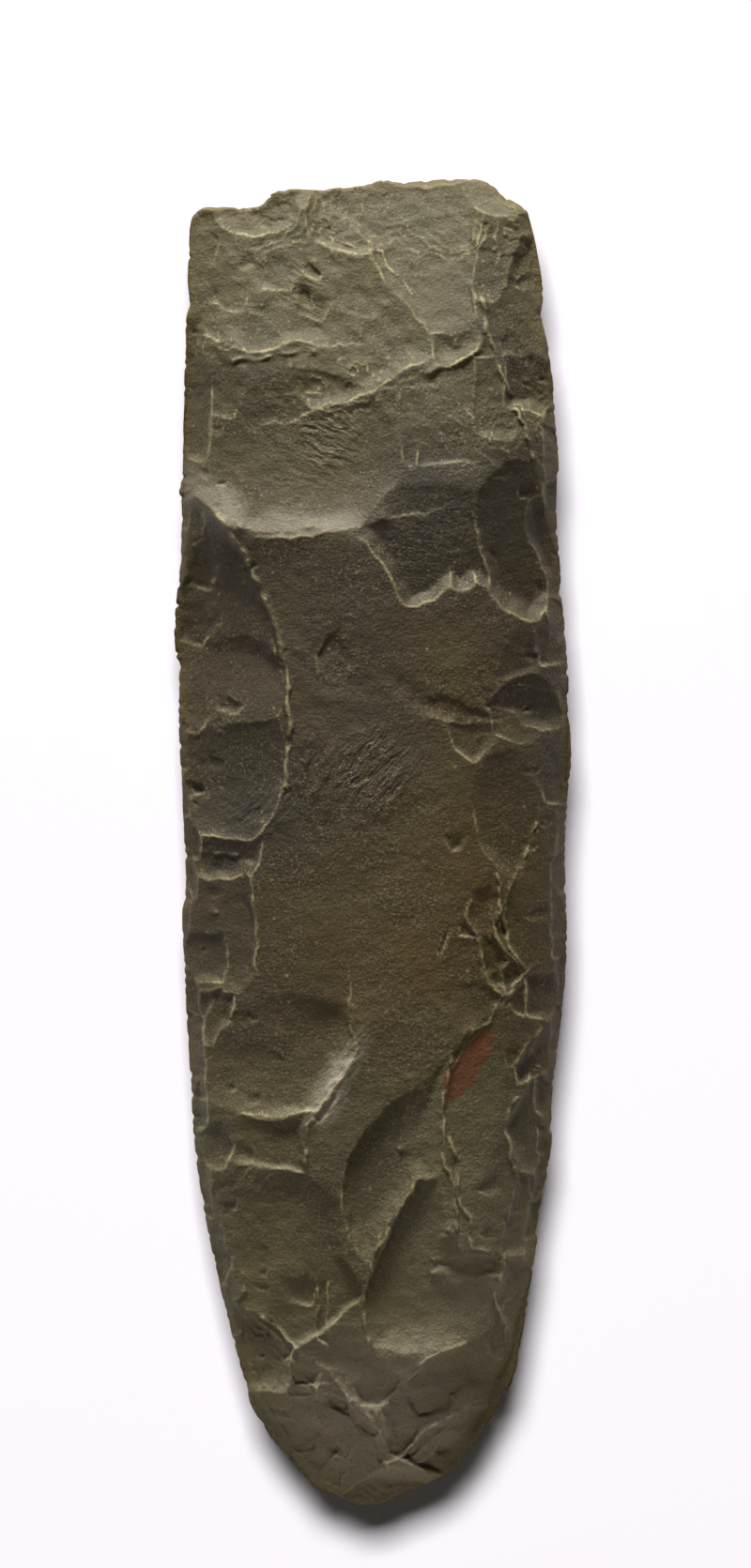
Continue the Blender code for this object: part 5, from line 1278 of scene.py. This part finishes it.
def stone_bumps(tree, look, place, grain):
    """Bumps too fine for the mesh: lumps, grain, and the ripples that some fractures left."""
    total = product(tree, noise(tree, place, *LUMPS), look.lump_depth / MM)
    total = product_sum(tree, grain, look.grain_depth / MM, total)
    ragged = strayed(tree, place, *RIPPLE_STRAY)
    for heading, spacing, patches in RIPPLES:
        lines = add_node(tree, "ShaderNodeMapping", {
            "Vector": ragged,
            "Rotation": (0, 0, math.radians(heading)),
            "Scale": (spacing * MM * RIPPLE_LENGTH, spacing * MM, spacing * MM * RIPPLE_LENGTH),
        }, vector_type="TEXTURE")
        waves = noise(tree, lines, *RIPPLE_WAVES)
        for centre, radii, turn, depth in patches:
            where = oval(tree, ragged, centre, radii, turn, RIPPLE_SOFTNESS)
            total = product_sum(tree, waves, product(tree, where, depth), total)
    return add_node(tree, "ShaderNodeBump", {"Height": total, "Distance": MM, "Strength": 1.0})


def weathered_greenstone(look):
    """Fine grained, silicified greenstone under a thin brown olive weathering skin.

    The eye gets a matt, slightly oily skin with a fine granular sparkle, pale lines where the scars meet,
    partly crushed stone and partly a painted highlight, darker colour in the clefts, brown staining in the
    middle, clouds of painted shade and painted light, and a painted glow of light along the thin margins.
    """
    material = bpy.data.materials.new("weathered greenstone")
    material.use_nodes = True
    tree = material.node_tree
    shader = tree.nodes["Principled BSDF"]
    shader.inputs["IOR"].default_value = STONE_IOR
    shader.inputs["Specular IOR Level"].default_value = SKIN_SPECULAR
    place = add_node(tree, "ShaderNodeTexCoord", {}, "Object")
    grain = noise(tree, place, *GRAIN)
    tree.links.new(stone_colour(tree, look, place), shader.inputs["Base Color"])
    tree.links.new(spread(tree, grain, 0, 1, *SKIN_ROUGHNESS), shader.inputs["Roughness"])
    tree.links.new(stone_bumps(tree, look, place, grain), shader.inputs["Normal"])
    return material


def plain_paper():
    """Matt white paper: it takes soft shadows and shows nothing else."""
    material = bpy.data.materials.new("plain white paper")
    material.use_nodes = True
    shader = material.node_tree.nodes["Principled BSDF"]
    shader.inputs["Base Color"].default_value = (*linear(PAPER_COLOUR), 1)
    shader.inputs["Roughness"].default_value = PAPER_ROUGHNESS
    shader.inputs["Specular IOR Level"].default_value = 0.0
    return material


def area_light(name, power, azimuth, elevation, distance, size, colour):
    """A soft rectangular light aimed at the stone's middle. Azimuth 0 is +X and 90 is +Y."""
    light = bpy.data.lights.new(name, "AREA")
    light.shape = "RECTANGLE"
    light.size, light.size_y = size
    light.energy = power
    light.color = linear(colour)
    turn, rise = math.radians(azimuth), math.radians(elevation)
    level = distance * math.cos(rise)
    lamp = bpy.data.objects.new(name, light)
    lamp.location = (level * math.cos(turn), level * math.sin(turn), distance * math.sin(rise) + EDGE_HEIGHT)
    lamp.rotation_euler = (math.pi / 2 - rise, 0, turn + math.pi / 2)
    bpy.context.scene.collection.objects.link(lamp)
    return lamp


def light_only(lamps, things):
    """Lets these lamps light nothing but these things."""
    receivers = bpy.data.collections.new("lit by " + lamps[0].name)
    for thing in things:
        receivers.objects.link(thing)
    for lamp in lamps:
        lamp.light_linking.receiver_collection = receivers


def even_sky(strength):
    """A world that is the same white all round."""
    world = bpy.data.worlds.new("studio")
    world.use_nodes = True
    background = world.node_tree.nodes["Background"]
    background.inputs["Color"].default_value = (1, 1, 1, 1)
    background.inputs["Strength"].default_value = strength
    return world


def overhead_camera():
    """A camera that looks straight down and takes in PICTURE_HEIGHT at the height of the stone's edge."""
    camera = bpy.data.cameras.new("camera")
    camera.sensor_width = SENSOR_WIDTH_MM
    camera.lens = SENSOR_WIDTH_MM * (CAMERA_HEIGHT - EDGE_HEIGHT) / PICTURE_HEIGHT
    camera.clip_end = CAMERA_SIGHT
    eye = bpy.data.objects.new("camera", camera)
    eye.location = (*PICTURE_CENTRE, CAMERA_HEIGHT)
    return eye


class StoneLook(bpy.types.PropertyGroup):
    """Sizes and colours of the stone."""

    spacing: FloatProperty(
        name="Point spacing", description="Distance between points of the carved surface",
        default=0.00030, min=0.0002, unit="LENGTH", subtype="DISTANCE",
    )
    grain_depth: FloatProperty(
        name="Grain depth", description="Depth of the fine granular texture",
        default=0.00014, min=0.0, unit="LENGTH", subtype="DISTANCE",
    )
    lump_depth: FloatProperty(
        name="Lump depth", description="Depth of the lumps a few millimetres across",
        default=0.00022, min=0.0, unit="LENGTH", subtype="DISTANCE",
    )
    skin: FloatVectorProperty(
        name="Skin", description="Brown olive weathered skin",
        default=linear("#383020"), subtype="COLOR",
    )
    pale_skin: FloatVectorProperty(
        name="Pale skin", description="Paler skin toward the blade",
        default=linear("#4a452f"), subtype="COLOR",
    )
    grey_skin: FloatVectorProperty(
        name="Grey skin", description="Greyer skin toward the butt",
        default=linear("#696245"), subtype="COLOR",
    )
    # Painted light: the paler clouds of this colour stand in for light falling brightly on the butt and a few
    # lit spots
    painted_light: FloatVectorProperty(
        name="Bloom", description="Pale bloom at the butt and in a few clouds",
        default=linear("#847d6f"), subtype="COLOR",
    )
    green_skin: FloatVectorProperty(
        name="Green skin", description="Olive tint in cloudy areas",
        default=linear("#3c3c2a"), subtype="COLOR",
    )
    pale_grain: FloatVectorProperty(
        name="Pale grain", description="Lighter mineral grains",
        default=linear("#675f44"), subtype="COLOR",
    )
    # Also the painted shade: darker clouds of this colour stand in for shade on facets turned from the light
    dark_skin_and_painted_shade: FloatVectorProperty(
        name="Dark skin", description="Dirt and dark cloudy stains",
        default=linear("#2b271d"), subtype="COLOR",
    )
    ochre: FloatVectorProperty(
        name="Ochre", description="Brown stain in the middle",
        default=linear("#443619"), subtype="COLOR",
    )
    rust: FloatVectorProperty(
        name="Rust", description="Iron stained patch",
        default=linear("#59331d"), subtype="COLOR",
    )
    # Painted light: the yellow brown glow of light shining through the thin margins
    thin_edge_glow: FloatVectorProperty(
        name="Thin edge", description="Yellow brown of the thin margins",
        default=linear("#53441b"), subtype="COLOR",
    )
    # Pale ridges: partly crushed stone, partly a painted highlight where the ridges catch the light
    crushed_and_highlight: FloatVectorProperty(
        name="Crushed ridge", description="Pale crushed stone on the ridges",
        default=linear("#968d66"), subtype="COLOR",
    )
    fleck: FloatVectorProperty(
        name="Fleck", description="Pale pink mineral flecks",
        default=linear("#706055"), subtype="COLOR",
    )


class StudioLook(bpy.types.PropertyGroup):
    """Strength of the studio's lights."""

    key_power: FloatProperty(
        name="Key power", description="Power of the low light beyond the blade",
        default=150.0, min=0.0, subtype="POWER",
    )
    fill_power: FloatProperty(
        name="Fill power", description="Power of the light from the near side",
        default=4.0, min=0.0, subtype="POWER",
    )
    overhead_power: FloatProperty(
        name="Overhead power", description="Power of the light that whitens the floor",
        default=120.0, min=0.0, subtype="POWER",
    )
    sky: FloatProperty(
        name="Sky", description="Strength of the even light from all round",
        default=0.03, min=0.0,
    )


class STONE_OT_axe_head(bpy.types.Operator):
    """Build the flaked stone with its weathered skin"""

    bl_idname = "stone.axe_head"
    bl_label = "Axe head"

    def execute(self, context):
        look = context.scene.stone_look
        spacing_mm = look.spacing / MM * 1
        mesh, merge = stone_mesh(spacing_mm)
        mesh.materials.append(weathered_greenstone(look))
        stone = bpy.data.objects.new("flaked_stone", mesh)
        context.scene.collection.objects.link(stone)
        group = stone.vertex_groups.new(name="merge")
        for share in np.unique(merge):
            if share > 0:
                group.add(np.flatnonzero(merge == share).tolist(), float(share), "REPLACE")
        triangles = 2 * len(mesh.polygons)
        if triangles > MOST_TRIANGLES:
            fewer = stone.modifiers.new("fewer flat faces", "DECIMATE")
            fewer.ratio = MOST_TRIANGLES / triangles
            fewer.vertex_group = group.name
        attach(stone, "root")
        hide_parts("axe_head")
        return {"FINISHED"}


class STONE_OT_studio(bpy.types.Operator):
    """Lay the pale floor and place the lights and the camera above it"""

    bl_idname = "stone.studio"
    bl_label = "Studio"

    def execute(self, context):
        scene = context.scene
        look = scene.studio_look
        stones = [thing for thing in scene.objects if thing.type == "MESH"]
        corners = [(x * FLOOR_HALF, y * FLOOR_HALF, 0) for x, y in ((-1, -1), (1, -1), (1, 1), (-1, 1))]
        mesh = bpy.data.meshes.new("floor")
        mesh.from_pydata(corners, [], [(0, 1, 2, 3)])
        mesh.materials.append(plain_paper())
        floor = bpy.data.objects.new("floor", mesh)
        scene.collection.objects.link(floor)
        key = area_light("key", look.key_power, *KEY_LIGHT)
        fill = area_light("fill", look.fill_power, *FILL_LIGHT)
        overhead = area_light("overhead", look.overhead_power, *OVERHEAD_LIGHT)
        # The low lights model the stone, and the overhead one lays its short shadow on the floor
        light_only([key, fill], stones)
        light_only([overhead], [floor])
        scene.world = even_sky(look.sky)
        scene.camera = overhead_camera()
        scene.collection.objects.link(scene.camera)
        scene.view_settings.view_transform = "Standard"
        return {"FINISHED"}


class VIEW3D_PT_stone_axe(bpy.types.Panel):
    """Lists the pieces and their settings"""

    bl_label = "Stone axe"
    bl_space_type = "VIEW_3D"
    bl_region_type = "UI"
    bl_category = "Stone axe"

    def draw(self, context):
        layout = self.layout
        for settings, operator in (("stone_look", "stone.axe_head"), ("studio_look", "stone.studio")):
            look = getattr(context.scene, settings)
            box = layout.box()
            for name in look.__annotations__:
                box.prop(look, name)
            box.operator(operator)


CLASSES = (StoneLook, StudioLook, STONE_OT_axe_head, STONE_OT_studio, VIEW3D_PT_stone_axe)


def register():
    for kind in CLASSES:
        bpy.utils.register_class(kind)
    bpy.types.Scene.stone_look = PointerProperty(type=StoneLook)
    bpy.types.Scene.studio_look = PointerProperty(type=StudioLook)


def unregister():
    del bpy.types.Scene.studio_look
    del bpy.types.Scene.stone_look
    for kind in reversed(CLASSES):
        bpy.utils.unregister_class(kind)


def main():
    register()
    bpy.ops.stone.axe_head()
    bpy.ops.stone.studio()


if __name__ == "__main__":
    main()
